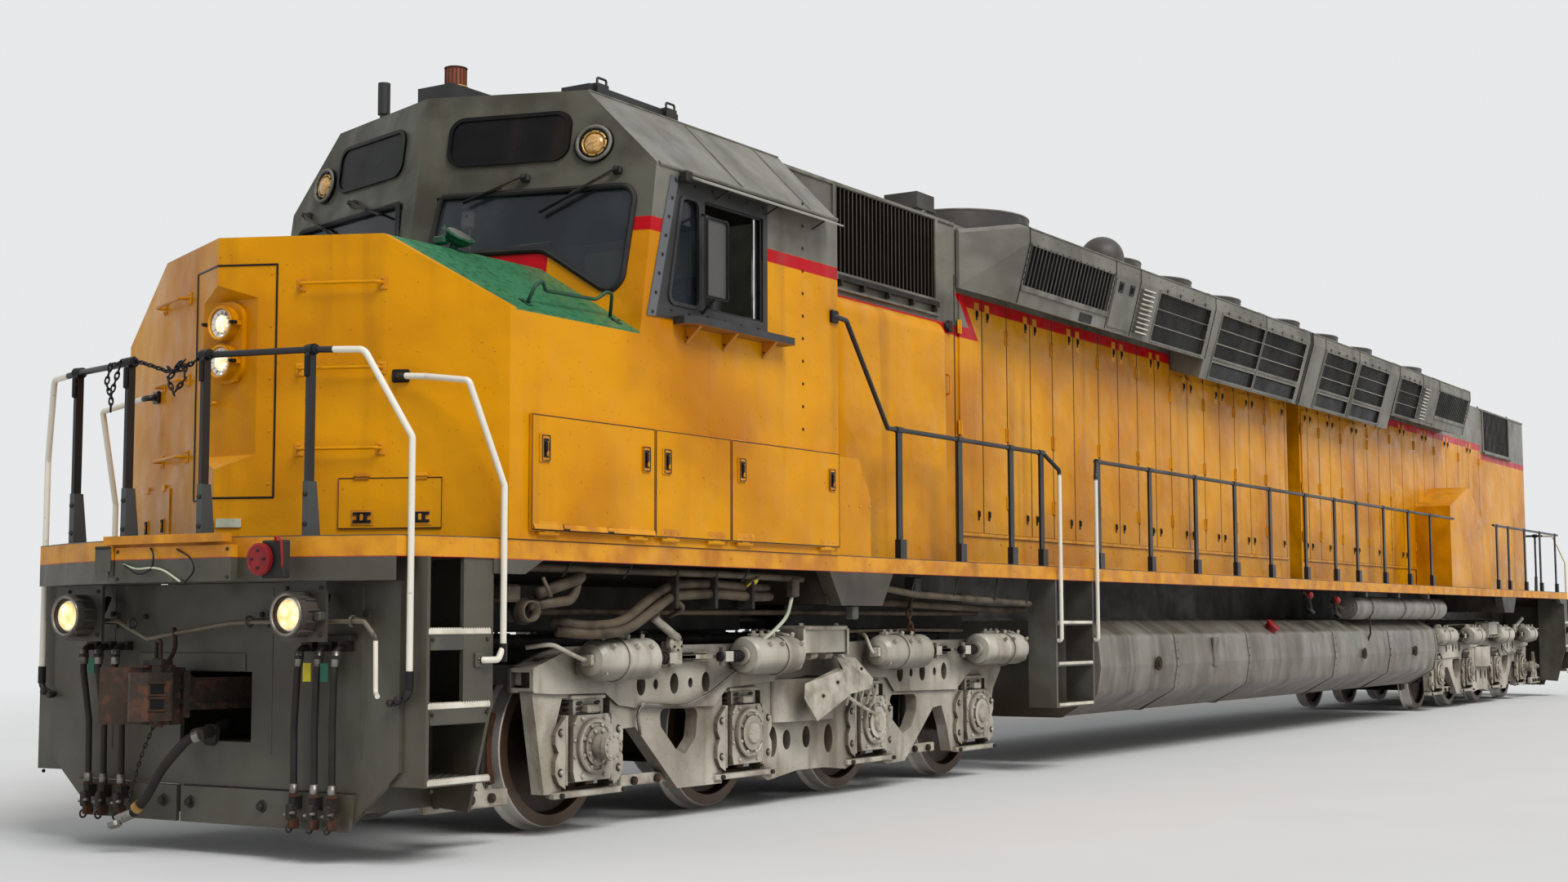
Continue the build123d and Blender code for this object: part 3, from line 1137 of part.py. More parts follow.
def brake_cylinders(name, place):
    """Domed brake cylinders on the side frames, with their push rods and clevises."""
    solids = []
    for low, high, way in CYLINDERS:
        length = high - low
        profile = [
            (0, 0), (55, 4), (95, 22), (120, 55), (CYLINDER_R, 95), (CYLINDER_R, length * 0.4),
            (CYLINDER_R + 9, length * 0.4), (CYLINDER_R + 9, length * 0.4 + 26), (CYLINDER_R, length * 0.4 + 26),
            (CYLINDER_R, length - 26), (112, length - 8), (60, length), (60, length + 28), (30, length + 30),
            (30, length + 250), (0, length + 250),
        ]
        face = Face(Wire.make_polygon([Vector(0, r, s) for r, s in profile], close=True))
        can = revolve(face, Axis.Z, 360)
        start = low if way > 0 else high
        can = Pos(start, CYLINDER_Y, CYLINDER_Z) * Rot(0, 90 * way, 0) * can
        seat = slab((low + 90, high - 60), (FRAME_OUT + SEAT, CYLINDER_Y), (CYLINDER_Z - 95, CYLINDER_Z + 75))
        end = start + way * (length + 250)
        clevis = slab(sorted((end - way * 70, end + way * 20)), (CYLINDER_Y - 42, CYLINDER_Y + 42),
                      (CYLINDER_Z - 34, CYLINDER_Z + 34))
        boss = rod((start + way * 60, CYLINDER_Y + 60, CYLINDER_Z - 70), (start + way * 150, CYLINDER_Y + 60, CYLINDER_Z - 70), 38)
        body = Pos(BOLSTER_X, 0, 0) * fuse([can, seat, clevis, boss])
        solids += [body, other_side(body)]
    save(name, *[place(solid) for solid in solids])


def traction_motors(name, place):
    """Axle-hung traction motors between the wheels."""
    solids = []
    for axle, way in ((1.5, -1), (0.5, -1), (-0.5, 1), (-1.5, 1)):
        u = axle * AXLE_PITCH
        centre = u + way * 500
        barrel = rod((centre, -480, 560), (centre, 480, 560), 320)
        arm = slab(sorted((u + way * 30, centre)), (-480, 480), (430, 640))
        collar = rod((u, -480, TREAD_R), (u, 480, TREAD_R), AXLE_R + 70)
        body = fuse([barrel, arm, collar]) - rod((u, -500, TREAD_R), (u, 500, TREAD_R), AXLE_R + SEAT)
        solids.append(Pos(BOLSTER_X, 0, 0) * body)
    save(name, *[place(solid) for solid in solids])


def mu_hoses(name, place):
    """Three short control hoses each side of the pilot, held at both ends."""
    solids = []
    for side in (-1, 1):
        for i, (top_y, foot_y) in enumerate(HOSE_Y):
            top_y, foot_y = side * top_y, side * foot_y
            x = PILOT_X + 70
            points = [(PILOT_X + SEAT, top_y, 1130), (x + 20, top_y, 1130), (x + 30, top_y - side * 6, 1000),
                      (x + 5, foot_y, 700), (x, foot_y, 360), (x, foot_y, 290)]
            hose = pipe(points, 19, 40)
            top = slab((PILOT_X + SEAT, PILOT_X + 40), (top_y - 42, top_y + 42), (1112, 1160))
            foot = slab((PILOT_X + 25 + SEAT, x + 15), (foot_y - 22, foot_y + 22), (262, 330))
            solids.append(fuse([hose, top, foot]))
    save(name, *[place(solid) for solid in solids])


def same(shape):
    """Leaves a piece at the front end."""
    return shape


def main():
    os.makedirs("parts", exist_ok=True)
    underframe()
    nose_shell()
    nose_door()
    cab_shell()
    cab_glazing()
    cab_window_gear()
    cab_interior()
    cab_lamps()
    for side in ("left", "right"):
        cab_door(side)
        side_rails(side)
        for number in range(len(LOCKERS)):
            locker_door(number, side)
    intake_hood("hood_intake_front", (FRONT_HOOD_X[1] + SEAT, CAB_REAR_X - SEAT), (7654, 9279), (3947, 4620), True)
    engine_hood("engine_hood_front", FRONT_HOOD_X, FRONT_DOOR_LINES, (-2000, 2430))
    engine_hood("engine_hood_rear", REAR_HOOD_X, REAR_DOOR_LINES, (-4450, -1000))
    intake_hood("hood_intake_rear", (REAR_END_X, REAR_HOOD_X[0] - SEAT), (-12790, -11070), (3980, 4620), False)
    upper_housing(
        "radiator_housing_front",
        [(2420, 6895, SHORT_FOOT), (-720, 2420, LONG_FOOT)],
        [(6895, 7280, SHORT_FOOT)],
        [(5060, 6860, SHORT_FOOT, 0.3, 0.97)],
        [(2545, 3930, SHORT_FOOT, 0.05, 0.96, 3), (867, 2190, LONG_FOOT, 0.33, 0.97, 3),
         (-560, 820, LONG_FOOT, 0.33, 0.97, 3), (867, 2190, LONG_FOOT, 0.04, 0.28, 1),
         (-560, 820, LONG_FOOT, 0.04, 0.28, 1)],
        [(4480, 5000, SHORT_FOOT)],
        [(4120, 4400, SHORT_FOOT)],
    )
    upper_housing(
        "radiator_housing_rear",
        [(-4450, -800, LONG_FOOT), (-8150, -4450, SHORT_FOOT)],
        [(-8150, -8600, SHORT_FOOT)],
        [(-8080, -6480, SHORT_FOOT, 0.3, 0.97)],
        [(-2560, -1340, LONG_FOOT, 0.33, 0.97, 3), (-3960, -2720, LONG_FOOT, 0.33, 0.97, 3),
         (-2560, -1340, LONG_FOOT, 0.04, 0.28, 1), (-3960, -2720, LONG_FOOT, 0.04, 0.28, 1),
         (-5540, -4530, SHORT_FOOT, 0.05, 0.96, 3)],
        [(-6420, -5960, SHORT_FOOT)],
        [(-5880, -5640, SHORT_FOOT)],
    )
    blowers()
    rear_boxes()
    engines()
    fuel_tank()
    reservoirs()
    ladders()
    roof_gear()
    roof_fans()
    ends = (("front", same), ("rear", turned))
    for end, place in ends:
        pilot(end + "_pilot", place)
        coupler("coupler_" + end, place, -COUPLER_SWING if end == "front" else 0.0)
        end_rails("handrails_" + end, place)
        lamps("ditch_lamps_" + end, place)
        mu_hoses("control_hoses_" + end, place)
        truck("truck_frame_" + end, place)
        brake_cylinders("brake_cylinders_" + end, place)
        traction_motors("traction_motors_" + end, place)
    places = [end * BOLSTER_X + axle * AXLE_PITCH for end in (1, -1) for axle in (1.5, 0.5, -0.5, -1.5)]
    for number, x in enumerate(places, start=1):
        wheelset(number, x)


main()
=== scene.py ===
"""Looks for the twin-engine diesel locomotive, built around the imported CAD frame.

Metres, in the frame of the CAD part: +X front, +Y left, +Z up. Heights in the values below are
measured from the wheel tread, and every new piece is lifted by the flange depth when it is made.
Pieces are built for the left side or the front end and then repeated where the object has more.
Colours of three values are screen colours from 0 to 255.
"""

import functools
import math

import bmesh
import bpy
from mathutils import Matrix, Vector


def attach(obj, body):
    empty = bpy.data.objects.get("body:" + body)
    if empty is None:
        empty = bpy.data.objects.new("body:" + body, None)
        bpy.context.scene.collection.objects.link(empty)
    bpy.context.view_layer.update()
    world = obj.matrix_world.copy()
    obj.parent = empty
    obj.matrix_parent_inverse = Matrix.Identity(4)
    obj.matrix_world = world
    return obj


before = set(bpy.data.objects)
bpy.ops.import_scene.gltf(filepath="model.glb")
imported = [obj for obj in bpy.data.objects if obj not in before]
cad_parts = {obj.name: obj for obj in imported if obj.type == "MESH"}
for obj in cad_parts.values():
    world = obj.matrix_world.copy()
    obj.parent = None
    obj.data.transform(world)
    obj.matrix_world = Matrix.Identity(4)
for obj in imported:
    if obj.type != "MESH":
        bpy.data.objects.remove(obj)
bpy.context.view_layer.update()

# Sizes of the CAD part
FLANGE = 0.025
TRUCK_X = 9.906
AXLES = (2.61, 0.87, -0.87, -2.61)
TREAD_R = 0.508
SIDE = 1.57
HOOD = 0.984
COUPLER_PIVOT = 13.87
SHORT_FOOT = (1.360, 3.970)
LONG_FOOT = (1.295, 3.785)
FLARE_LIP = (1.5, 4.487)
NOSE_TIP = 14.55
NOSE_SWEEP = 0.4522
SHOULDER_FALL = 0.6397
CAB_TIP = 12.953
CAB_SWEEP = 0.284
CAB_RAKE = 0.156

# Camera, recovered from the photograph
CAMERA_SPOT = (22.6312, 8.9037, 1.2838)
CAMERA_TURN = (-147.8367, 5.0722, -0.1779)
LENS = 46.98
SENSOR = 36.0

# Paints
YELLOW = (215, 145, 0)
YELLOW_DEEP = (184, 114, 0)
RED = (178, 12, 26)
GREY = (118, 115, 105)
GREY_DARK = (86, 84, 75)
FRAME_GREY = (82, 80, 70)
SILVER = (192, 185, 170)
WHITE = (226, 220, 204)
BLACK = (26, 26, 28)
DIRT = (70, 50, 30)
# Near black: soot and oil, and painted shade inboard on the trucks
SOOT_AND_SHADE = (34, 30, 27)
PALE = (0.80, 0.81, 0.82, 1.0)

# Directions
FORWARD = (1, 0, 0)
LEFTWARD = (0, 1, 0)

# Bumps: rows of noise scale, height in metres and stretch
EVEN = (1, 1, 1)
DENTS = ((0.9, 0.1, EVEN), (3.6, 0.012, EVEN), (60.0, 0.0008, EVEN))
CAST = ((9.0, 0.012, EVEN), (55.0, 0.004, EVEN))
FINE = ((40.0, 0.001, EVEN),)


class Nodes:
    """Short calls that add nodes to a tree."""

    def __init__(self, tree):
        self.tree = tree

    def feed(self, socket, value):
        """Links an output to a socket, or sets the socket to a plain value."""
        if isinstance(value, bpy.types.NodeSocket):
            self.tree.links.new(value, socket)
        elif value is not None:
            socket.default_value = value

    def node(self, kind, *values, **settings):
        """New node with its first inputs fed in order."""
        made = self.tree.nodes.new(kind)
        for name, value in settings.items():
            setattr(made, name, value)
        for socket, value in zip(made.inputs, values):
            self.feed(socket, value)
        return made

    def calc(self, operation, first, second=None, clamp=False):
        """Result of one sum, product or other step of arithmetic."""
        return self.node("ShaderNodeMath", first, second, operation=operation, use_clamp=clamp).outputs[0]


class Shade(Nodes):
    """Material with short calls for its masks and paints."""

    def __init__(self, name):
        self.material = bpy.data.materials.new(name)
        self.material.use_nodes = True
        super().__init__(self.material.node_tree)
        self.shader = self.tree.nodes["Principled BSDF"]
        texture = self.tree.nodes.new("ShaderNodeTexCoord")
        self.spot = texture.outputs["Object"]
        split = self.node("ShaderNodeSeparateXYZ", self.spot)
        turn = self.node("ShaderNodeSeparateXYZ", texture.outputs["Normal"])
        self.x = split.outputs["X"]
        self.y = self.calc("ABSOLUTE", split.outputs["Y"])
        self.z = self.calc("SUBTRACT", split.outputs["Z"], FLANGE)
        self.up = turn.outputs["Z"]
        self.ahead = turn.outputs["X"]

    def noise(self, scale, detail=3.0, stretch=EVEN):
        """Cloudy pattern about 0.5, drawn out along an axis by a small stretch value."""
        spot = self.node("ShaderNodeVectorMath", self.spot, stretch, operation="MULTIPLY").outputs[0]
        made = self.node("ShaderNodeTexNoise", spot)
        made.inputs["Scale"].default_value = scale
        made.inputs["Detail"].default_value = detail
        return made.outputs[0]

    def rise(self, value, low, high):
        """0 below low, 1 above high."""
        return self.node("ShaderNodeMapRange", value, low, high, interpolation_type="SMOOTHSTEP").outputs[0]

    def fall(self, value, low, high):
        """1 below low, 0 above high."""
        return self.calc("SUBTRACT", 1.0, self.rise(value, low, high))

    def between(self, value, low, high, soft=0.003):
        """1 between two values, 0 outside."""
        enter = self.rise(value, low - soft, low + soft)
        return self.calc("SUBTRACT", enter, self.rise(value, high - soft, high + soft), clamp=True)

    def all(self, *masks):
        """Where every mask holds."""
        return functools.reduce(functools.partial(self.calc, "MULTIPLY"), masks)

    def mix(self, mask, under, over, amount=1.0):
        """Colour over another where the mask holds."""
        if amount != 1.0:
            mask = self.calc("MULTIPLY", mask, amount)
        made = self.node("ShaderNodeMix", mask, data_type="RGBA")
        for socket, colour in ((made.inputs[6], under), (made.inputs[7], over)):
            if isinstance(colour, tuple) and len(colour) == 3:
                colour = tuple((value / 255.0) ** 2.2 for value in colour) + (1.0,)
            self.feed(socket, colour)
        return made.outputs[2]

    def clouded(self, light, dark, scale=1.3):
        """A colour that drifts between two tones."""
        return self.mix(self.rise(self.noise(scale), 0.35, 0.7), light, dark)

    def weather(self, colour, streaks=0.25, dust=0.3, spots=0.3, low=2.4):
        """Adds rain streaks, road dust low down and small dark spots."""
        run = self.rise(self.noise(2.6, 5.0, (1.6, 1.6, 0.09)), 0.53, 0.74)
        colour = self.mix(run, colour, DIRT, streaks)
        height = self.fall(self.z, 0.6, low)
        patch = self.rise(self.noise(1.7, 6.0), 0.36, 0.72)
        colour = self.mix(self.all(height, patch), colour, DIRT, dust)
        return self.mix(self.rise(self.noise(38.0, 2.0), 0.69, 0.75), colour, SOOT_AND_SHADE, spots)

    def surface(self, values):
        """Feeds the shader's sockets by name."""
        for name, value in values.items():
            self.feed(self.shader.inputs[name], value)
        return self.material

    def finish(self, colour, rough=(0.3, 0.5), metal=0.0, bump=(), shine=0.5):
        """Sets colour, roughness between two values, and bumps."""
        gloss = self.node("ShaderNodeMapRange", self.noise(3.1, 5.0), 0.3, 0.7, *rough).outputs[0]
        normal = None
        for scale, height, stretch in bump:
            made = self.node("ShaderNodeBump")
            for name, value in (("Strength", 1.0), ("Distance", height), ("Normal", normal)):
                self.feed(made.inputs[name], value)
            self.feed(made.inputs["Height"], self.noise(scale, 3.0, stretch))
            normal = made.outputs[0]
        return self.surface({"Base Color": colour, "Roughness": gloss, "Metallic": metal,
                             "Specular IOR Level": shine, "Normal": normal})


def body_yellow(name, masks=None, streaks=0.2):
    """Weathered gloss yellow, with other paint where the masks say."""
    s = Shade(name)
    colour = s.clouded(YELLOW, YELLOW_DEEP, 0.9)
    if masks:
        colour = masks(s, colour)
    return s.finish(s.weather(colour, streaks, 0.22, 0.35), (0.22, 0.42), 0.0, DENTS, 0.14)


def grey_paint(name, light, dark, masks=None, rough=(0.4, 0.62), streaks=0.35, dust=0.55, bump=DENTS,
               low=2.0):
    """Weathered grey paint, with other paint where the masks say."""
    s = Shade(name)
    colour = s.clouded(light, dark, 1.4)
    if masks:
        colour = masks(s, colour)
    return s.finish(s.weather(colour, streaks, dust, 0.35, low), rough, 0.0, bump)


def plain(name, light, dark, rough=(0.35, 0.55), metal=0.0, bump=FINE, shine=0.35):
    """Small fittings: one paint or metal with its own cloudiness and dirt."""
    s = Shade(name)
    return s.finish(s.weather(s.clouded(light, dark, 6.0), 0.2, 0.25, 0.3, 1.6), rough, metal, bump, shine)


def glowing(name, light, dark, strength, scale):
    """Lit lens: a bright core through pressed glass."""
    s = Shade(name)
    cells = s.node("ShaderNodeTexVoronoi", s.spot)
    cells.inputs["Scale"].default_value = scale
    colour = s.mix(s.rise(cells.outputs[0], 0.1, 1.0), light, dark)
    return s.surface({"Base Color": colour, "Emission Color": colour, "Emission Strength": strength,
                      "Roughness": 0.12, "Coat Weight": 0.6})


def window_glass(name):
    """Dark blue-grey glass with lighter patches of faint dirt and painted reflection."""
    s = Shade(name)
    # Lighter patches drawn out upward: faint dirt and painted reflection.
    haze_and_reflection = s.rise(s.noise(1.5, 6.0, (1, 1, 0.4)), 0.45, 0.75)
    return s.surface({"Base Color": s.mix(haze_and_reflection, (38, 44, 50), (74, 80, 86)), "Roughness": 0.06, "Alpha": 0.5})


def wheel_look(name, centre):
    """Rusty disc, oily hub and a bright worn rim about one axle."""
    s = Shade(name)
    along = s.calc("SUBTRACT", s.x, centre)
    over = s.calc("SUBTRACT", s.z, TREAD_R)
    reach = s.calc("SQRT", s.calc("ADD", s.calc("MULTIPLY", along, along), s.calc("MULTIPLY", over, over)))
    colour = s.clouded((62, 44, 32), (38, 29, 23), 7.0)
    colour = s.mix(s.fall(reach, 0.18, 0.2), colour, SOOT_AND_SHADE, 0.8)
    colour = s.mix(s.rise(reach, 0.425, 0.43), colour, (88, 70, 55))
    colour = s.mix(s.rise(reach, 0.5, 0.503), colour, (196, 190, 182))
    return s.finish(s.weather(colour, 0.3, 0.35, 0.4, 1.2), (0.35, 0.6), 0.35, ((20.0, 0.003, EVEN),))


def nose_masks(s, colour):
    """Green grit paint on the nose top and shoulders, behind the yellow front edge."""
    ridge = s.calc("SUBTRACT", NOSE_TIP, s.calc("MULTIPLY", s.y, NOSE_SWEEP))
    behind = s.rise(s.calc("SUBTRACT", ridge, s.x), 0.045, 0.055)
    slope = s.calc("ADD", s.z, s.calc("MULTIPLY", s.y, SHOULDER_FALL))
    above = s.calc("MAXIMUM", s.rise(s.z, 3.452, 3.456), s.rise(slope, 4.02, 4.026))
    top = s.all(above, behind)
    grit = s.mix(s.rise(s.noise(26.0, 6.0), 0.5, 0.62), (62, 116, 82), (44, 98, 66))
    return s.mix(top, colour, s.mix(s.rise(s.noise(2.2, 7.0), 0.6, 0.72), grit, (120, 132, 96), 0.7))


def cab_masks(s, colour):
    """Grey roof and forehead, the forehead and front in a darker grey that is painted shade, a red band, and
    a red and yellow edge under the windshield.
    """
    grey = s.clouded(GREY, GREY_DARK, 1.6)
    front = s.rise(s.ahead, 0.55, 0.6)
    middle = s.fall(s.y, 1.447, 1.45)
    colour = s.mix(s.between(s.z, 3.68, 3.77), colour, RED)
    colour = s.mix(s.rise(s.z, 3.768, 3.772), colour, grey)
    # Darker copy of the roof grey on faces turned forward: painted shade.
    front_grey_shaded = s.clouded((92, 90, 80), (68, 66, 58), 2.4)
    colour = s.mix(s.all(front, middle, s.rise(s.z, 3.575, 3.58)), colour, front_grey_shaded)
    colour = s.mix(s.all(front, s.rise(s.z, 3.768, 3.772)), colour, front_grey_shaded)
    colour = s.mix(s.all(front, s.between(s.y, 0.26, 0.93), s.between(s.z, 3.3, 3.58)), colour, RED)
    return s.mix(s.all(front, s.fall(s.y, 0.255, 0.26)), colour, front_grey_shaded)


def intake_masks(s, colour):
    """Grey above the red band on the intake hoods, with a dark grille."""
    ahead = s.rise(s.x, 0.0, 0.1)
    behind = s.calc("SUBTRACT", 1.0, ahead)
    grey = s.clouded(GREY, GREY_DARK, 1.6)
    for part, low in ((ahead, 3.68), (behind, 3.82)):
        colour = s.mix(s.all(part, s.between(s.z, low, low + 0.09)), colour, RED)
        colour = s.mix(s.all(part, s.rise(s.z, low + 0.088, low + 0.092)), colour, grey)
    grille = s.all(s.between(s.z, 3.935, 4.63), s.fall(s.y, 0.9695, 0.972), s.rise(s.y, 0.8, 0.81))
    zones = s.calc("ADD", s.between(s.x, 7.64, 9.30), s.between(s.x, -12.80, -11.06), clamp=True)
    colour = s.mix(s.all(grille, zones), colour, (30, 25, 19))
    return s.mix(s.all(s.between(s.z, 3.87, 3.93), s.rise(s.y, 0.988, 0.99), zones), colour, SOOT_AND_SHADE)


def door_masks(s, colour):
    """Red band along the door tops with its angled start, and grey above it."""
    grey = s.clouded(GREY, GREY_DARK, 1.6)
    left = s.calc("SUBTRACT", s.x, s.calc("MULTIPLY", s.calc("SUBTRACT", s.z, 3.76), 0.816))
    before_slant = s.rise(left, 7.046, 7.05)
    in_slant = s.between(left, 6.945, 7.048)
    tall = s.between(s.z, 3.674, 4.05)
    for low, high in ((2.42, 7.27), (-10.9, -4.5)):
        colour = s.mix(s.all(s.between(s.z, 3.945, 4.05), s.between(s.x, low, high)), colour, RED)
    colour = s.mix(s.all(before_slant, tall), colour, grey)
    colour = s.mix(s.all(s.rise(left, 6.945, 6.95), s.between(s.z, 3.674, 3.77)), colour, RED)
    colour = s.mix(s.all(in_slant, tall), colour, RED)
    colour = s.mix(s.rise(s.z, 4.05, 4.056), colour, grey)
    return s.mix(s.rise(s.noise(1.9, 2.0, (9.0, 0.01, 0.12)), 0.62, 0.8), colour, (176, 104, 14), 0.45)


def edge_masks(s, colour):
    """Yellow band with a thin red line round the deck, and the cut lever with its white handle."""
    away = s.calc("ABSOLUTE", s.x)
    side = s.fall(s.up, 0.4, 0.5)
    edge = s.all(side, s.calc("MAXIMUM", s.rise(s.y, 1.553, 1.556), s.rise(away, 14.176, 14.18)))
    far = s.rise(away, 14.92, 14.925)
    colour = s.mix(s.all(edge, s.between(s.z, 1.614, 1.618, 0.001)), colour, RED)
    for mask in (s.all(edge, s.between(s.z, 1.618, 1.724)), s.all(far, s.rise(s.z, 1.625, 1.63))):
        colour = s.mix(mask, colour, s.clouded(YELLOW, YELLOW_DEEP, 5.0))
    lever = s.all(s.between(away, 14.575, 14.7), s.between(s.z, 1.16, 1.345), s.fall(s.y, 1.3, 1.31))
    colour = s.mix(lever, colour, (112, 102, 86))
    handle = s.all(s.between(away, 14.58, 14.68), s.rise(s.y, 1.24, 1.25), s.between(s.z, 0.86, 1.17))
    return s.mix(handle, colour, WHITE)


def rail_masks(s, colour):
    """White ladder drops and corner rails, grey feet on the end posts."""
    away = s.calc("ABSOLUTE", s.x)
    drop = s.all(s.rise(s.y, 1.556, 1.56), s.between(s.x, 5.7, 6.7), s.fall(s.z, 2.5, 2.52))
    corner = s.all(s.rise(s.y, 1.075, 1.08), s.rise(away, 13.8, 13.82), s.rise(s.z, 0.99, 1.0))
    foot = s.all(s.rise(away, 14.6, 14.61), s.fall(s.z, 2.018, 2.022), s.fall(s.y, 1.07, 1.08))
    colour = s.mix(foot, colour, (62, 66, 66))
    return s.mix(s.calc("MAXIMUM", drop, corner), colour, WHITE)


def window_masks(s, colour):
    """Grey front edge, yellow brackets, pale awning and a dark grey mirror face that is painted reflection.
    """
    bracket = s.all(s.fall(s.z, 3.116, 3.12), s.rise(s.y, 1.571, 1.572))
    awning = s.all(s.rise(s.z, 4.0, 4.02), s.rise(s.y, 1.581, 1.582))
    # Mirror face in flat dark grey: painted reflection.
    mirror = s.all(s.rise(s.y, 1.69, 1.7), s.between(s.x, 11.88, 12.092), s.between(s.z, 3.318, 3.802))
    slant = s.calc("ADD", s.x, s.calc("MULTIPLY", s.z, 0.27))
    edge = s.all(s.rise(slant, 13.31, 13.32), s.fall(s.y, 1.583, 1.584))
    for mask, paint in ((edge, (92, 94, 97)), (bracket, YELLOW_DEEP), (awning, (158, 156, 148)),
                        (mirror, (70, 68, 65))):
        colour = s.mix(mask, colour, paint)
    return colour


def roof_masks(s, colour):
    """Red-brown beacon on its black base."""
    cap = s.all(s.between(s.x, 12.44, 12.64), s.rise(s.z, 4.786, 4.79), s.fall(s.y, 0.1, 0.11))
    return s.mix(cap, colour, (132, 62, 38))


# Spans along X of the grilles and framed radiators on the flared housings
GRILLES = ((5.06, 6.86), (-8.08, -6.48))
SHORT_FRAMES = ((2.545, 3.93), (-5.54, -4.53))
LONG_FRAMES = ((0.867, 2.19), (-0.56, 0.82), (-2.56, -1.34), (-3.96, -2.72))


def housing_masks(s, colour):
    """Dark grilles and framed radiators by their place on the flared face, with pale frame lines."""
    for foot, first, last, rows, spans in (
        # foot, first and last part of the face, rows between pale lines, spans along X
        (SHORT_FOOT, 0.3, 0.97, 0, GRILLES),
        (SHORT_FOOT, 0.05, 0.96, 3, SHORT_FRAMES),
        (LONG_FOOT, 0.33, 0.97, 3, LONG_FRAMES),
        (LONG_FOOT, 0.04, 0.28, 1, LONG_FRAMES),
    ):
        part = s.calc("DIVIDE", s.calc("SUBTRACT", s.z, foot[1]), FLARE_LIP[1] - foot[1])
        face = s.calc("ADD", s.calc("MULTIPLY", part, FLARE_LIP[0] - foot[0]), foot[0])
        depth = s.calc("SUBTRACT", s.y, face)
        inside = s.all(s.between(depth, -0.09, 0.03), s.between(part, first, last, 0.004))
        for low, high in spans:
            zone = s.all(inside, s.between(s.x, low, high, 0.004))
            colour = s.mix(zone, colour, (24, 20, 16))
            for row in range(rows + 1 if rows else 0):
                line = first + 0.012 + (last - first - 0.024) * row / rows
                line = s.all(zone, s.between(part, line - 0.009, line + 0.009, 0.003))
                colour = s.mix(line, colour, (128, 124, 112))
    return colour


def truck_masks(s, colour):
    """Silver paint, brown grime streaks, dark brown painted shade in hollows and on down faces, near black
    oil and shade inboard.
    """
    # Painted shade: hollows found by ambient occlusion turn dark brown.
    hollow_shade = s.node("ShaderNodeAmbientOcclusion", None, 0.26, samples=5).outputs["AO"]
    colour = s.mix(s.fall(hollow_shade, 0.38, 0.92), colour, (44, 34, 25), 0.85)
    colour = s.mix(s.rise(s.noise(4.0, 6.0, (1.3, 1.3, 0.35)), 0.52, 0.68), colour, (112, 96, 76), 0.5)
    # Painted shade: faces turned down are darkened.
    colour = s.mix(s.fall(s.up, -0.7, -0.15), colour, (58, 46, 34), 0.6)
    # Nearly black inboard: oil, and painted shade between the parts.
    return s.mix(s.fall(s.y, 0.93, 0.97), colour, SOOT_AND_SHADE, 0.85)


def coupler_masks(s, colour):
    """Brighter rust in patches."""
    return s.mix(s.rise(s.noise(12.0, 7.0), 0.5, 0.66), colour, (98, 56, 34), 0.6)


def tank_masks(s, colour):
    """Pale runs down the tank, darker towards the bottom."""
    colour = s.mix(s.rise(s.noise(1.1, 6.0, (5.0, 1.0, 0.12)), 0.44, 0.62), colour, (134, 128, 118), 0.6)
    return s.mix(s.fall(s.z, 0.42, 0.85), colour, (62, 50, 38), 0.7)


LOOKS = {name: plain("look_" + name, *values) for name, values in {
    # light and dark tone, roughness, metal, bump, shine
    "yellow_small": (YELLOW, YELLOW_DEEP, (0.3, 0.5)),
    "grey": (GREY, GREY_DARK),
    "frame": (FRAME_GREY, (70, 70, 66)),
    "black": (BLACK, (16, 16, 17), (0.3, 0.5), 0.0, FINE, 0.25),
    "rubber": ((34, 32, 32), (22, 21, 21), (0.55, 0.75)),
    "white": (WHITE, (196, 188, 172), (0.4, 0.6)),
    "silver": (SILVER, (138, 128, 112), (0.35, 0.6), 0.2, CAST),
    "steel": ((150, 146, 140), (92, 84, 74), (0.3, 0.5), 0.8),
    "rust": ((84, 54, 38), (52, 40, 32), (0.6, 0.85), 0.2, CAST),
    "pipe": ((92, 80, 64), (56, 48, 38), (0.5, 0.7)),
    "dark": ((46, 43, 40), (28, 26, 25), (0.5, 0.75)),
    "green": ((22, 62, 44), (30, 78, 54), (0.3, 0.5)),
    "red": ((150, 28, 30), (110, 20, 24)),
    "brass": ((196, 158, 92), (150, 112, 60), (0.25, 0.4), 0.6),
    "chrome": ((220, 218, 212), (190, 186, 180), (0.06, 0.16), 0.95, (), 0.5),
    "pale": ((196, 200, 176), (178, 184, 160)),
    "tag_yellow": ((222, 206, 30), (190, 170, 24)),
    "tag_green": ((20, 106, 84), (16, 82, 66)),
}.items()}
LOOKS["warm"] = glowing("look_warm", (255, 244, 214), (236, 184, 120), 0.9, 46.0)
LOOKS["amber"] = glowing("look_amber", (255, 238, 190), (244, 186, 104), 0.85, 22.0)
LOOKS["dull_amber"] = glowing("look_dull_amber", (206, 160, 92), (150, 104, 48), 0.12, 60.0)

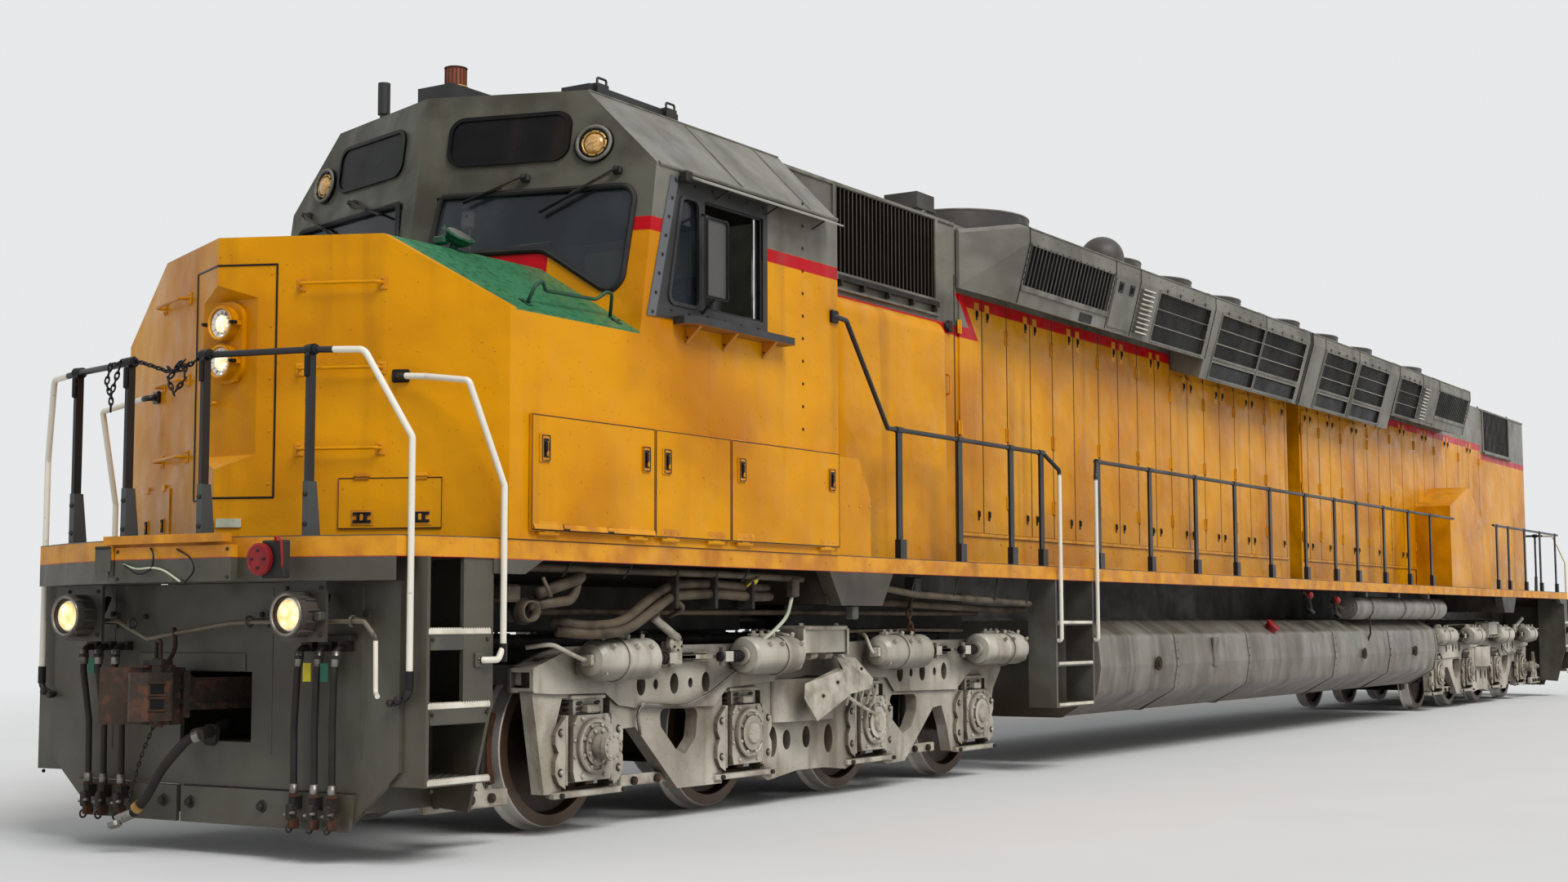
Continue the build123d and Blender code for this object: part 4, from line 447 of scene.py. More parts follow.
door_yellow = body_yellow("look_yellow")
pilot_paint = grey_paint("pilot_paint", FRAME_GREY, (66, 64, 54), edge_masks, streaks=0.2, dust=0.35)
NODE_LOOKS = {
    # look of the CAD nodes whose names start so
    "nose_shell": body_yellow("nose_paint", nose_masks),
    "cab_shell": body_yellow("cab_paint", cab_masks),
    "hood_intake": body_yellow("intake_paint", intake_masks, 0.3),
    "engine_hood": body_yellow("hood_paint", door_masks, 0.42),
    "nose_door": door_yellow,
    "headlight": door_yellow,
    "cab_door": door_yellow,
    "locker_door": door_yellow,
    "blower_housings": body_yellow("blower_paint", None, 0.35),
    "rear_side_boxes": body_yellow("box_paint", None, 0.35),
    "cab_glazing": window_glass("tinted_glass"),
    "cab_window_gear": grey_paint("window_gear", (48, 46, 46), (30, 29, 29), window_masks, bump=()),
    "cab_interior": plain("cab_inside", (112, 116, 110), (84, 88, 84)),
    "cab_lamps": plain("lamp_black", (20, 20, 22), (12, 12, 13), (0.3, 0.45), shine=0.15),
    # Underframe grey well darker than the frame grey: painted shade under the sill.
    "underframe": grey_paint("underframe_shaded_paint", (66, 60, 50), (38, 34, 28), edge_masks, dust=0.35),
    "front_pilot": pilot_paint,
    "rear_pilot": pilot_paint,
    "radiator_housing": grey_paint("housing_paint", GREY, GREY_DARK, housing_masks),
    "roof_fans": grey_paint("fan_paint", (66, 62, 56), (40, 37, 34)),
    "roof_gear": grey_paint("roof_gear_paint", (40, 38, 38), (26, 25, 25), roof_masks, bump=()),
    "engine_blocks": plain("engine_iron", (70, 68, 64), (46, 44, 42)),
    "fuel_tank": grey_paint("tank_paint", (112, 108, 98), (76, 73, 66), tank_masks, (0.28, 0.5), 0.4, 0.5),
    "air_reservoirs": grey_paint("reservoir_paint", (118, 114, 106), (84, 80, 74), tank_masks, (0.28, 0.5)),
    "side_ladders": grey_paint("ladder_paint", (92, 92, 86), (64, 63, 59)),
    "handrails": grey_paint("rail_paint", BLACK, (24, 27, 32), rail_masks, (0.3, 0.5), 0.1, 0.15, ()),
    "ditch_lamps": grey_paint("lamp_can_paint", (84, 80, 74), (58, 55, 50)),
    "control_hoses": LOOKS["rubber"],
    "coupler": grey_paint("coupler_rust", (52, 38, 29), (30, 24, 20), coupler_masks, (0.6, 0.85), bump=CAST),
    "truck_frame": grey_paint("truck_paint", SILVER, (150, 142, 128), truck_masks, (0.4, 0.65), 0.3, 0.5,
                              CAST, 0.9),
    "brake_cylinders": grey_paint("cylinder_paint", (190, 184, 170), (150, 143, 130), truck_masks,
                                  (0.28, 0.5), 0.25, 0.4, ((30.0, 0.001, EVEN),), 1.2),
    "traction_motors": plain("motor_iron", (50, 44, 38), (32, 29, 26), (0.55, 0.8)),
}


def dress_nodes():
    """Gives every CAD node its material by the start of its name; wheels get one each."""
    for name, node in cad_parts.items():
        if name.startswith("wheelset"):
            number = int(name.split("_")[1]) - 1
            centre = (TRUCK_X if number < 4 else -TRUCK_X) + AXLES[number % 4]
            look = wheel_look("wheel_look_%d" % (number + 1), centre)
        else:
            look = NODE_LOOKS[max((key for key in NODE_LOOKS if name.startswith(key)), key=len)]
        if not node.material_slots:
            node.data.materials.append(look)
        for slot in node.material_slots:
            slot.material = look


# Shapes, each given as its corners and its faces


@functools.lru_cache(maxsize=None)
def box(x, y, z, cut=0.004):
    """Box about the origin with its edges cut back."""
    cut = min(cut, 0.3 * min(x, y, z))
    corners = []
    for a in (-1, 1):
        for b in (-1, 1):
            for c in (-1, 1):
                p, q, r = a * x / 2, b * y / 2, c * z / 2
                corners.append((p, q - b * cut, r - c * cut))
                corners.append((p - a * cut, q, r - c * cut))
                corners.append((p - a * cut, q - b * cut, r))
    return hull(tuple(corners))


@functools.lru_cache(maxsize=None)
def hull(points):
    """Convex solid round some points."""
    mesh = bmesh.new()
    for point in points:
        mesh.verts.new(point)
    made = bmesh.ops.convex_hull(mesh, input=mesh.verts)
    left_over = set(made["geom_interior"] + made["geom_unused"])
    spare = [item for item in left_over if isinstance(item, bmesh.types.BMVert)]
    bmesh.ops.delete(mesh, geom=spare, context="VERTS")
    bmesh.ops.dissolve_limit(mesh, angle_limit=0.03, verts=mesh.verts, edges=mesh.edges)
    mesh.verts.index_update()
    corners = [tuple(vert.co) for vert in mesh.verts]
    faces = [[vert.index for vert in face.verts] for face in mesh.faces]
    mesh.free()
    return corners, faces


@functools.lru_cache(maxsize=None)
def lathe(profile, sides=16):
    """Turned solid about local Z; the profile gives radius and height, from the back out to the front."""
    corners, rings, faces = [], [], []
    ends = ((0.0, profile[0][1]),) if profile[0][0] else ()
    for radius, height in ends + tuple(profile):
        count = sides if radius else 1
        rings.append(range(len(corners), len(corners) + count))
        for i in range(count):
            angle = 2 * math.pi * i / sides
            corners.append((radius * math.cos(angle), radius * math.sin(angle), height))
    for low, high in zip(rings, rings[1:]):
        for i in range(sides):
            j = (i + 1) % sides
            face = [low[i % len(low)], low[j % len(low)], high[j % len(high)], high[i % len(high)]]
            face = list(dict.fromkeys(face))
            if len(face) > 2:
                faces.append(face)
    return corners, faces


def rod(radius, low, high, sides):
    """Short round rod along local Z, flat at the top."""
    return lathe(((radius, low), (radius, high), (0.0, high)), sides)


def knob(radius, low, high, top_radius, top, sides):
    """Round knob whose side runs from low to high and narrows to a flat top."""
    return lathe(((radius, low), (radius, high), (top_radius, top), (0.0, top)), sides)


@functools.lru_cache(maxsize=None)
def bolt(radius=0.014, height=0.012):
    """Six-sided bolt head."""
    return lathe(((radius, 0.0), (radius, height * 0.75), (radius * 0.8, height), (0.0, height)), 6)


def rounded(points, reach):
    """A run of straight bars with its corners rounded."""
    spots = [Vector(point) for point in points]
    path = [spots[0]]
    for before, corner, after in zip(spots, spots[1:], spots[2:]):
        back, ahead = before - corner, after - corner
        size = min(reach, back.length * 0.48, ahead.length * 0.48)
        start, end = corner + back.normalized() * size, corner + ahead.normalized() * size
        for step in range(5):
            t = step / 4
            path.append(start * (1 - t) ** 2 + corner * 2 * t * (1 - t) + end * t ** 2)
    return path + [spots[-1]]


def tube(points, radius, sides=8, reach=0.0, closed=False):
    """Round bar along points, with its own rounded corners."""
    path = rounded(points, reach) if reach else [Vector(point) for point in points]
    corners, faces = [], []
    count = len(path)
    side = None
    for i, spot in enumerate(path):
        before = path[i - 1] if i or closed else spot
        after = path[(i + 1) % count] if i + 1 < count or closed else spot
        run = (after - before).normalized()
        if side is None:
            side = run.orthogonal()
        side = (side - run * side.dot(run)).normalized()
        other = run.cross(side)
        for k in range(sides):
            angle = 2 * math.pi * k / sides
            corners.append(tuple(spot + (side * math.cos(angle) + other * math.sin(angle)) * radius))
    for i in range(count if closed else count - 1):
        low, high = i * sides, ((i + 1) % count) * sides
        for k in range(sides):
            j = (k + 1) % sides
            faces.append([low + k, low + j, high + j, high + k])
    if not closed:
        faces.append(list(range(sides))[::-1])
        faces.append(list(range((count - 1) * sides, count * sides)))
    return corners, faces


def helix(radius, wire, height, turns):
    """Coil spring about local Z."""
    steps = int(turns * 12)
    path = []
    for i in range(steps + 1):
        angle = 2 * math.pi * turns * i / steps
        path.append((radius * math.cos(angle), radius * math.sin(angle), height * i / steps))
    return tube(path, wire, 6)


def board(outline, depth):
    """Flat outline given depth along local Z."""
    count = len(outline)
    corners = [(x, y, 0.0) for x, y in outline] + [(x, y, depth) for x, y in outline]
    faces = [list(range(count))[::-1], list(range(count, 2 * count))]
    for i in range(count):
        j = (i + 1) % count
        faces.append([i, j, count + j, count + i])
    return corners, faces


def at(x, y, z):
    """Upright place."""
    return Matrix.Translation((x, y, z))


def spun(angle):
    """Turn about local Z."""
    return Matrix.Rotation(angle, 4, "Z")


def facing(spot, normal, up=(0, 0, 1)):
    """Place whose local Z is the normal and whose local Y is nearest to up."""
    normal = Vector(normal).normalized()
    up = Vector(up)
    up = (up - normal * up.dot(normal)).normalized()
    across = up.cross(normal)
    return Matrix.Translation(spot) @ Matrix((across, up, normal)).transposed().to_4x4()


def front_side(x, y, z):
    """Place that faces the front."""
    return facing((x, y, z), FORWARD)


def cab_front(y, z, off=0.0):
    """Place on the left half of the raked cab front, facing out."""
    normal = Vector((1.0, CAB_SWEEP, CAB_RAKE)).normalized()
    spot = Vector((CAB_TIP - CAB_RAKE * (z - 3.726) - CAB_SWEEP * y, y, z)) + normal * off
    return facing(spot, normal)


def nose_front(y, z, off=0.0):
    """Place on the left half of the nose front, facing out."""
    normal = Vector((1.0, NOSE_SWEEP, 0.0)).normalized()
    return facing(Vector((NOSE_TIP - NOSE_SWEEP * y, y, z)) + normal * off, normal)


def left_side(x, z, y=SIDE):
    """Place that faces left, on the side wall if nothing else is said."""
    return facing((x, y, z), LEFTWARD)


def flare(x, foot, part, off=0.0):
    """Place on the flared housing face, from its foot at 0 to its lip at 1, facing out."""
    rise = Vector((0.0, FLARE_LIP[0] - foot[0], FLARE_LIP[1] - foot[1]))
    normal = Vector((0.0, rise.z, -rise.y)).normalized()
    return facing(Vector((x, foot[0], foot[1])) + rise * part + normal * off, normal, rise)


def through(place, *spots):
    """Points of a run over a wall, by the function that gives its places."""
    return [place(*spot).translation for spot in spots]


def mirrored(spot):
    """The same spot on the other side."""
    return Vector((spot.x, -spot.y, spot.z))


class Piece:
    """Mesh parts that are gathered, repeated and made into one object."""

    def __init__(self, name):
        self.name = name
        self.corners = []
        self.faces = []
        self.tones = []
        self.smooth = []
        self.looks = []

    def add(self, shape, look, place=None, smooth=False):
        """One shape in a look, at a place or where its own points are."""
        if look not in self.looks:
            self.looks.append(look)
        tone = self.looks.index(look)
        first = len(self.corners)
        corners, faces = shape
        place = place or Matrix()
        self.corners += [place @ Vector(corner) for corner in corners]
        self.faces += [[first + index for index in face] for face in faces]
        self.tones += [tone] * len(faces)
        self.smooth += [smooth] * len(faces)

    def copied(self, change, flip):
        """Adds a copy of all of it with every corner changed."""
        first = len(self.corners)
        self.corners += [change(corner) for corner in self.corners]
        for face in list(self.faces):
            face = [first + index for index in face]
            self.faces.append(face[::-1] if flip else face)
        self.tones += self.tones
        self.smooth += self.smooth
        return self

    def both_sides(self):
        """Repeats it on the right."""
        return self.copied(mirrored, True)

    def both_ends(self):
        """Repeats it at the rear, turned half round."""
        return self.copied(lambda c: Vector((-c.x, -c.y, c.z)), False)

    def moved(self, name, change, flip=False):
        """A new piece like this one, somewhere else."""
        other = Piece(name)
        other.corners = [change(corner) for corner in self.corners]
        other.faces = [face[::-1] if flip else face for face in self.faces]
        other.tones, other.smooth, other.looks = self.tones, self.smooth, self.looks
        return other

    def make(self, body, slot):
        """Makes the object, lifted by the flange depth, and lets it ride on a body."""
        mesh = bpy.data.meshes.new(self.name)
        mesh.from_pydata([(c.x, c.y, c.z + FLANGE) for c in self.corners], [], self.faces)
        for look in self.looks:
            mesh.materials.append(LOOKS[look])
        mesh.polygons.foreach_set("material_index", self.tones)
        mesh.polygons.foreach_set("use_smooth", self.smooth)
        outward = bmesh.new()
        outward.from_mesh(mesh)
        bmesh.ops.recalc_face_normals(outward, faces=outward.faces)
        outward.to_mesh(mesh)
        outward.free()
        mesh.update()
        piece = bpy.data.objects.new(self.name, mesh)
        bpy.context.scene.collection.objects.link(piece)
        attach(piece, body)


def circle(count, across, high=None, start=0.0):
    """Points round a circle or an oval about local Z."""
    angles = [2 * math.pi * (i + start) / count for i in range(count)]
    return [(across * math.cos(a), (high or across) * math.sin(a), 0.0) for a in angles]


def ring(radius, wire, sides=24):
    """Closed round bar about local Z."""
    return tube(circle(sides, radius), wire, 8, closed=True)


def bolt_circle(piece, place, radius, count, head=0.014, height=0.012, look="silver"):
    """Bolt heads round a circle in the place's plane."""
    for spot in circle(count, radius, start=0.5):
        piece.add(bolt(head, height), look, place @ at(*spot))


def chain(piece, points, look, size=0.026, wire=0.0055):
    """Links along a line of points, every other one turned."""
    link = tube(circle(10, size * 0.42, size * 0.98), wire, 6, closed=True)
    pitch = size * 1.45
    spots = [Vector(point) for point in points]
    ahead, turned = 0.0, False
    for start, end in zip(spots, spots[1:]):
        run = (end - start).normalized()
        length = (end - start).length
        while ahead < length:
            side = run.cross(run.orthogonal()) if turned else run.orthogonal()
            piece.add(link, look, facing(start + run * ahead, side, run), smooth=True)
            ahead += pitch
            turned = not turned
        ahead -= length


def dome(radius, height, rings=4):
    """Low dome profile, from its rim to its middle."""
    angles = [math.pi / 2 * i / rings for i in range(rings)]
    return tuple((radius * math.cos(a), height * math.sin(a)) for a in angles) + ((0.0, height),)


def latch(piece, place, plate):
    """Flush latch on a plate: a black paddle with ears beside it and a painted grip."""
    long, short = max(plate), min(plate)

    def lie(along, across):
        return (along, across) if plate[0] > plate[1] else (across, along)

    paddle = lie(long * 0.46, short * 0.66)
    piece.add(box(*plate, 0.004, 0.001), "yellow_small", place)
    piece.add(box(*paddle, 0.012, 0.004), "black", place @ at(0, 0, 0.005))
    for off in (-0.24, 0.24):
        ear = box(*lie(long * 0.8, short * 0.18), 0.014, 0.002)
        piece.add(ear, "black", place @ at(*lie(0, off * short), 0.004))
    piece.add(box(paddle[0] * 0.3, paddle[1] * 0.6, 0.012, 0.003), "yellow_small", place @ at(0, 0, 0.012))


def windshield_trim():
    """Rubber gaskets, wipers, class lamp lenses and the small box behind the left glass."""
    piece = Piece("windshield_trim")
    outline = ((0.14, 3.585), (0.14, 3.975), (1.4, 3.975), (1.455, 3.905), (1.427, 3.362), (1.366, 3.3),
               (1.302, 3.312), (0.898, 3.585))
    path = rounded([(*point, 0) for point in outline + outline[:2]], 0.05)[5:-1]
    for radius, off, look in ((0.02, 0.004, "rubber"), (0.006, 0.021, "dark")):
        line = through(cab_front, *((spot.x, spot.y, off) for spot in path))
        piece.add(tube(line, radius, 8, closed=True), look, smooth=True)
    for pivot, tip in (((0.733, 4.061), (0.344, 3.918)), ((1.33, 4.072), (0.857, 3.824))):
        middle = tuple(a * 0.42 + b * 0.58 for a, b in zip(pivot, tip))
        blade_start = tuple(a * 0.62 + b * 0.38 for a, b in zip(pivot, tip))
        piece.add(box(0.06, 0.05, 0.04, 0.008), "dark", cab_front(*pivot, 0.02))
        piece.add(lathe(((0.016, 0), (0.016, 0.03), (0.0, 0.034)), 10), "dark", cab_front(*pivot, 0.035))
        arm = through(cab_front, (*pivot, 0.055), (*middle, 0.05))
        rod = through(cab_front, (pivot[0] - 0.03, pivot[1] - 0.03, 0.05), (*middle, 0.045))
        blade = through(cab_front, (*blade_start, 0.034), (*tip, 0.034))
        back = [spot + Vector((0.014, 0.004, 0.0)) for spot in blade]
        for line, radius, sides, look in ((arm, 0.008, 6, "dark"), (rod, 0.005, 6, "pipe"),
                                          (blade, 0.012, 4, "rubber"), (back, 0.005, 6, "black")):
            piece.add(tube(line, radius, sides), look)
    lamp = cab_front(1.159, 4.263, 0.0)
    piece.add(ring(0.112, 0.012), "grey", lamp @ at(0, 0, 0.02), True)
    piece.add(ring(0.079, 0.009), "brass", lamp @ at(0, 0, 0.014), True)
    piece.add(lathe(((0.086, -0.004), (0.086, 0.006), (0.0, 0.008)), 24), "black", lamp)
    piece.add(lathe(dome(0.068, 0.03), 24), "dull_amber", lamp @ at(0, 0, 0.01), True)
    for i in range(8):
        spot = lamp @ spun(math.pi * i / 4 + 0.3) @ at(0.094, 0, 0.022)
        piece.add(box(0.034, 0.012, 0.01, 0.002), "black", spot)
    piece.both_sides()
    inside = cab_front(0.345, 3.835, -0.06)
    piece.add(box(0.085, 0.115, 0.05, 0.012), "white", inside)
    piece.add(box(0.02, 0.02, 0.004, 0.001), "black", inside @ at(0, 0.02, 0.025))
    cable = ((0.02, -0.05, 0.0), (0.025, -0.2, 0.0), (0.0, -0.33, -0.02))
    piece.add(tube(cable, 0.004, 6, 0.03), "white", inside)
    piece.make("carbody", "lamp_black")


def cab_side_trim():
    """Rivets, window bolts, mirror hinges, sash edge, awning brackets and the rear seam."""
    piece = Piece("cab_side_trim")
    for i in range(11):
        piece.add(bolt(0.011, 0.007), "dark", left_side(10.724, 2.58 + 0.157 * i))
    for i in range(8):
        spot = left_side(12.5 - 0.242 * i / 7, 3.17 + 0.87 * i / 7, SIDE + 0.009)
        piece.add(bolt(0.011, 0.008), "dark", spot)
    for x in (11.3, 11.5, 11.7, 11.9, 12.1, 12.3):
        piece.add(bolt(0.009, 0.007), "dark", left_side(x, 3.205, SIDE + 0.009))
        piece.add(bolt(0.009, 0.007), "dark", left_side(x - 0.06, 4.03, SIDE + 0.009))
    piece.add(box(0.018, 0.018, 0.68, 0.003), "chrome", at(11.318, SIDE - 0.02, 3.605))
    piece.add(box(0.012, 0.03, 0.68, 0.003), "black", at(11.262, SIDE - 0.01, 3.605))
    for z in (3.262, 3.948):
        piece.add(box(0.66, 0.03, 0.014, 0.003), "black", at(11.59, SIDE - 0.012, z))
    for z in (3.34, 3.78):
        piece.add(rod(0.014, -0.03, 0.03, 10), "black", at(11.862, 1.704, z))
        piece.add(box(0.05, 0.012, 0.03, 0.003), "black", at(11.885, 1.692, z))
    mirror_rim = [(x, 1.716, z) for x, z in ((11.872, 3.31), (11.872, 3.81), (12.1, 3.81), (12.1, 3.31))]
    piece.add(tube(mirror_rim, 0.007, 6, 0.03, True), "black")
    piece.add(box(0.07, 0.07, 0.075, 0.01), "dark", at(12.2, SIDE + 0.05, 4.06))
    for x in (10.6, 11.2, 11.8):
        piece.add(tube([(x, SIDE + 0.005, 3.99), (x, 1.69, 4.045)], 0.006, 6), "dark")
    for x in (11.21, 11.25, 11.68, 11.72, 12.1, 12.14):
        piece.add(bolt(0.008, 0.006), "dark", left_side(x, 3.05, SIDE + 0.016))
    piece.both_sides().make("carbody", "rail_black")


def nose_top_gear():
    """Dark green rails on the nose shoulders and the round lamp lying on the nose top."""
    piece = Piece("nose_top_gear")
    normal = Vector((0, 0.435, 0.68)).normalized()

    def shoulder(x, y, off):
        """Place on the sloped shoulder, facing out."""
        return facing(Vector((x, y, 3.03 + (SIDE - y) * SHOULDER_FALL)) + normal * off, normal, FORWARD)

    rail = through(shoulder, (13.6, 1.49, 0.004), (13.56, 1.46, 0.11), (13.5, 1.45, 0.14),
                   (13.44, 1.45, 0.085), (12.92, 1.42, 0.085), (12.86, 1.42, 0.15), (12.8, 1.42, 0.14),
                   (12.75, 1.44, 0.004))
    piece.add(tube(rail, 0.011, 8, 0.02), "green", smooth=True)
    for x in (13.6, 12.75):
        piece.add(box(0.09, 0.045, 0.006, 0.002), "green", shoulder(x, 1.48, 0.004))
        for off in (-0.03, 0.03):
            piece.add(bolt(0.008, 0.007), "dark", shoulder(x + off, 1.48, 0.007))
    piece.both_sides()
    lamp = facing((13.5, 0.88, 3.55), (-0.04, 0.54, 0.84))
    can = ((0.0, -0.05), (0.05, -0.05), (0.085, -0.02), (0.092, 0.0), (0.104, 0.002), (0.104, 0.016),
           (0.092, 0.02), (0.088, 0.012), (0.0, 0.012))
    piece.add(lathe(can, 24), "green", lamp, True)
    piece.add(lathe(((0.086, 0.012), (0.07, 0.024), (0.035, 0.03), (0.0, 0.031)), 24), "grey", lamp, True)
    for i in range(6):
        spot = lamp @ spun(math.pi * i / 3) @ at(0.098, 0, 0.014)
        piece.add(box(0.016, 0.02, 0.012, 0.002), "green", spot)
    piece.add(tube([(13.5, 0.86, 3.52), (13.5, 0.83, 3.465)], 0.03, 10), "green")
    piece.add(box(0.06, 0.09, 0.05, 0.01), "green", at(13.58, 0.82, 3.52))
    piece.make("carbody", "body_yellow")


def nose_front_trim():
    """Door gasket line, flap hinges and latches, grab iron feet, blank plate and rail eyelets."""
    piece = Piece("nose_front_trim")
    edge = 0.323
    for line in (((edge, 1.97), (edge, 3.305)), ((edge, 1.972), (0.0, 1.972)), ((edge, 3.303), (0.0, 3.303))):
        piece.add(tube(through(nose_front, *((*spot, 0.001) for spot in line)), 0.0065, 6), "black")
    for z in (2.24, 2.695, 3.18):
        for y in (0.458, 0.893):
            piece.add(box(0.055, 0.075, 0.008, 0.003), "yellow_small", nose_front(y, z, 0.004))
            for off in (-0.025, 0.025):
                piece.add(bolt(0.009, 0.008), "yellow_small", nose_front(y, z + off, 0.008))
    eyelet = nose_front(0.998, 2.646, 0.012)
    piece.add(box(0.1, 0.075, 0.024, 0.01), "black", eyelet)
    piece.add(bolt(0.02, 0.02), "black", eyelet @ at(-0.02, 0, 0.01))
    piece.both_sides()
    for y in (0.803, 1.111):
        latch(piece, nose_front(y, 1.852, 0.011), (0.13, 0.09))
        piece.add(box(0.085, 0.04, 0.012, 0.003), "yellow_small", nose_front(y - 0.005, 2.083, 0.012))
        grip = through(nose_front, (y - 0.045, 2.085, 0.02), (y + 0.04, 2.085, 0.02))
        piece.add(tube(grip, 0.008, 8), "yellow_small")
    rim = ((0.675, 1.792), (0.675, 2.073), (1.221, 2.073), (1.221, 1.792))
    piece.add(tube(through(nose_front, *((*spot, 0.009) for spot in rim)), 0.004, 4, closed=True), "dark")
    to_right, kept_round = Matrix.Scale(-1, 4, LEFTWARD), Matrix.Scale(-1, 4, FORWARD)
    for y in (0.83, 1.13):
        latch(piece, to_right @ nose_front(y, 1.85, 0.011) @ kept_round, (0.05, 0.1))
        foot = to_right @ nose_front(y, 2.08, 0.012) @ kept_round
        piece.add(box(0.06, 0.04, 0.012, 0.003), "yellow_small", foot)
    piece.add(box(0.15, 0.05, 0.004, 0.001), "pale", nose_front(0.087, 1.829, 0.0105))
    piece.make("carbody", "body_yellow")


def headlight_lenses():
    """Two lit headlights in chrome dishes, their rims and clips, on the nose door."""
    piece = Piece("headlight_lenses")
    for z in (2.752, 2.973):
        place = front_side(14.512, 0, z)
        dish = ((0.086, -0.002), (0.086, 0.018), (0.07, 0.006), (0.045, 0.002), (0.0, 0.001))
        piece.add(lathe(dish, 28), "chrome", place, True)
        piece.add(lathe(dome(0.052, 0.016), 20), "warm", place @ at(0, 0, 0.003), True)
        for i in range(12):
            spot = place @ spun(math.pi * i / 6) @ at(0.064, 0, 0.009)
            piece.add(box(0.03, 0.004, 0.008, 0.001), "chrome", spot)
        piece.add(ring(0.09, 0.008, 28), "yellow_small", place @ at(0, 0, 0.018), True)
        for side in (-1, 1):
            piece.add(box(0.03, 0.035, 0.02, 0.004), "black", at(14.53, side * 0.112, z))
            piece.add(bolt(0.011, 0.03), "black", front_side(14.53, side * 0.112, z))
    piece.add(tube([(14.478, 0.1, 2.645), (14.478, -0.1, 2.645)], 0.004, 6), "yellow_small")
    piece.make("nose_door", "body_yellow")
    handle = Piece("nose_door_handle")
    bar = [(x, y, 2.52) for x, y in ((14.45, -0.16), (14.49, -0.16), (14.49, -0.05), (14.53, -0.05))]
    handle.add(tube(bar, 0.009, 8, 0.02), "yellow_small", smooth=True)
    for i in range(5):
        handle.add(bolt(0.007, 0.006), "yellow_small", nose_front(0.295, 2.05 + 0.3 * i))
    handle.make("nose_door", "body_yellow")


def ditch_lamp_gear():
    """Lit ditch lamps with ribbed cans, rims and conduit."""
    piece = Piece("ditch_lamp_gear")
    place = front_side(14.811, 0.885, 1.309)
    piece.add(lathe(((0.1, -0.002), (0.1, 0.016), (0.07, 0.006), (0.0, 0.002)), 28), "chrome", place, True)
    piece.add(lathe(dome(0.084, 0.022), 24), "amber", place @ at(0, 0, 0.006), True)
    piece.add(ring(0.108, 0.008, 28), "steel", place @ at(0, 0, 0.026), True)
    for i in range(12):
        rib = place @ spun(math.pi * i / 6 + 0.2) @ at(0.116, 0, -0.06)
        piece.add(box(0.016, 0.012, 0.09, 0.003), "frame", rib)
    for y, z in ((0.76, 1.2), (1.01, 1.2), (0.76, 1.45), (1.01, 1.45)):
        piece.add(bolt(0.012, 0.01), "dark", front_side(14.708, y, z))
    piece.add(box(0.05, 0.05, 0.05, 0.01), "frame", at(14.735, 1.03, 1.3))
    conduit = ((14.66, 0.885, 1.31), (14.58, 0.885, 1.31), (14.53, 0.885, 1.42))
    piece.add(tube(conduit, 0.018, 8, 0.04), "dark", smooth=True)
    piece.both_sides().both_ends().make("carbody", "frame_gray")


LOCKERS = (
    # low and high X, latch places along X
    (12.495, 13.672, (13.56, 12.59)),
    (11.657, 12.479, (12.37,)),
    (10.281, 11.641, (11.53, 10.39)),
)
LATCH_RIM = ((-0.034, -0.072, 0.002), (0.034, -0.072, 0.002), (0.034, 0.072, 0.002), (-0.034, 0.072, 0.002))


def locker_trim():
    """Flush latches and hinge leaves on the locker doors, one piece for each door."""
    face = SIDE + 0.026
    for number, (low, high, latches) in enumerate(LOCKERS, 1):
        piece = Piece("locker_trim_left_%d" % number)
        for x in latches:
            place = left_side(x, 2.25, face + 0.009)
            piece.add(box(0.078, 0.156, 0.004, 0.001), "yellow_small", place)
            piece.add(tube(LATCH_RIM, 0.004, 6, 0.012, True), "dark", place)
            piece.add(box(0.046, 0.108, 0.006, 0.002), "black", place @ at(0, 0, 0.003))
            piece.add(box(0.03, 0.06, 0.018, 0.006), "black", place @ at(0, 0.008, 0.01))
            piece.add(box(0.012, 0.085, 0.012, 0.003), "yellow_small", place @ at(0.0, -0.005, 0.013))
        for x in (low + 0.16, high - 0.16):
            piece.add(box(0.2, 0.05, 0.005, 0.002), "yellow_small", left_side(x, 1.81, face))
            for off in (-0.07, 0.0, 0.07):
                piece.add(bolt(0.007, 0.005), "yellow_small", left_side(x + off, 1.812, face + 0.002))
        if number == 1:
            lips = (
                # X, height, off the wall, size, look
                (12.71, 1.804, 0.034, (0.42, 0.034, 0.008), "yellow_small"),
                (13.16, 1.804, 0.034, (0.36, 0.034, 0.008), "yellow_small"),
                (13.53, 1.804, 0.034, (0.26, 0.034, 0.008), "yellow_small"),
                (12.945, 1.806, 0.03, (0.075, 0.03, 0.01), "dark"),
                (13.36, 1.806, 0.03, (0.075, 0.03, 0.01), "dark"),
                (12.945, 1.807, 0.032, (0.06, 0.024, 0.012), "yellow_small"),
                (13.36, 1.807, 0.032, (0.06, 0.024, 0.012), "yellow_small"),
            )
            for x, z, off, size, look in lips:
                piece.add(box(*size, 0.002), look, facing((x, SIDE + off, z), (0, 1, 0.35)))
        else:
            strip = at((low + high) / 2, SIDE + 0.01, 2.437)
            piece.add(box(high - low, 0.02, 0.016, 0.004), "yellow_small", strip)
        near, far = low + 0.002, high - 0.002
        rim = [(x, face - 0.001, z) for x, z in ((near, 1.785), (near, 2.436), (far, 2.436), (far, 1.785))]
        piece.add(tube(rim, 0.004, 4), "dark")
        piece.add(tube([rim[0], rim[3]], 0.005, 4), "dark")
        other = piece.moved("locker_trim_right_%d" % number, mirrored, True)
        piece.make("locker_door_left_%d" % number, "body_yellow")
        other.make("locker_door_right_%d" % number, "body_yellow")


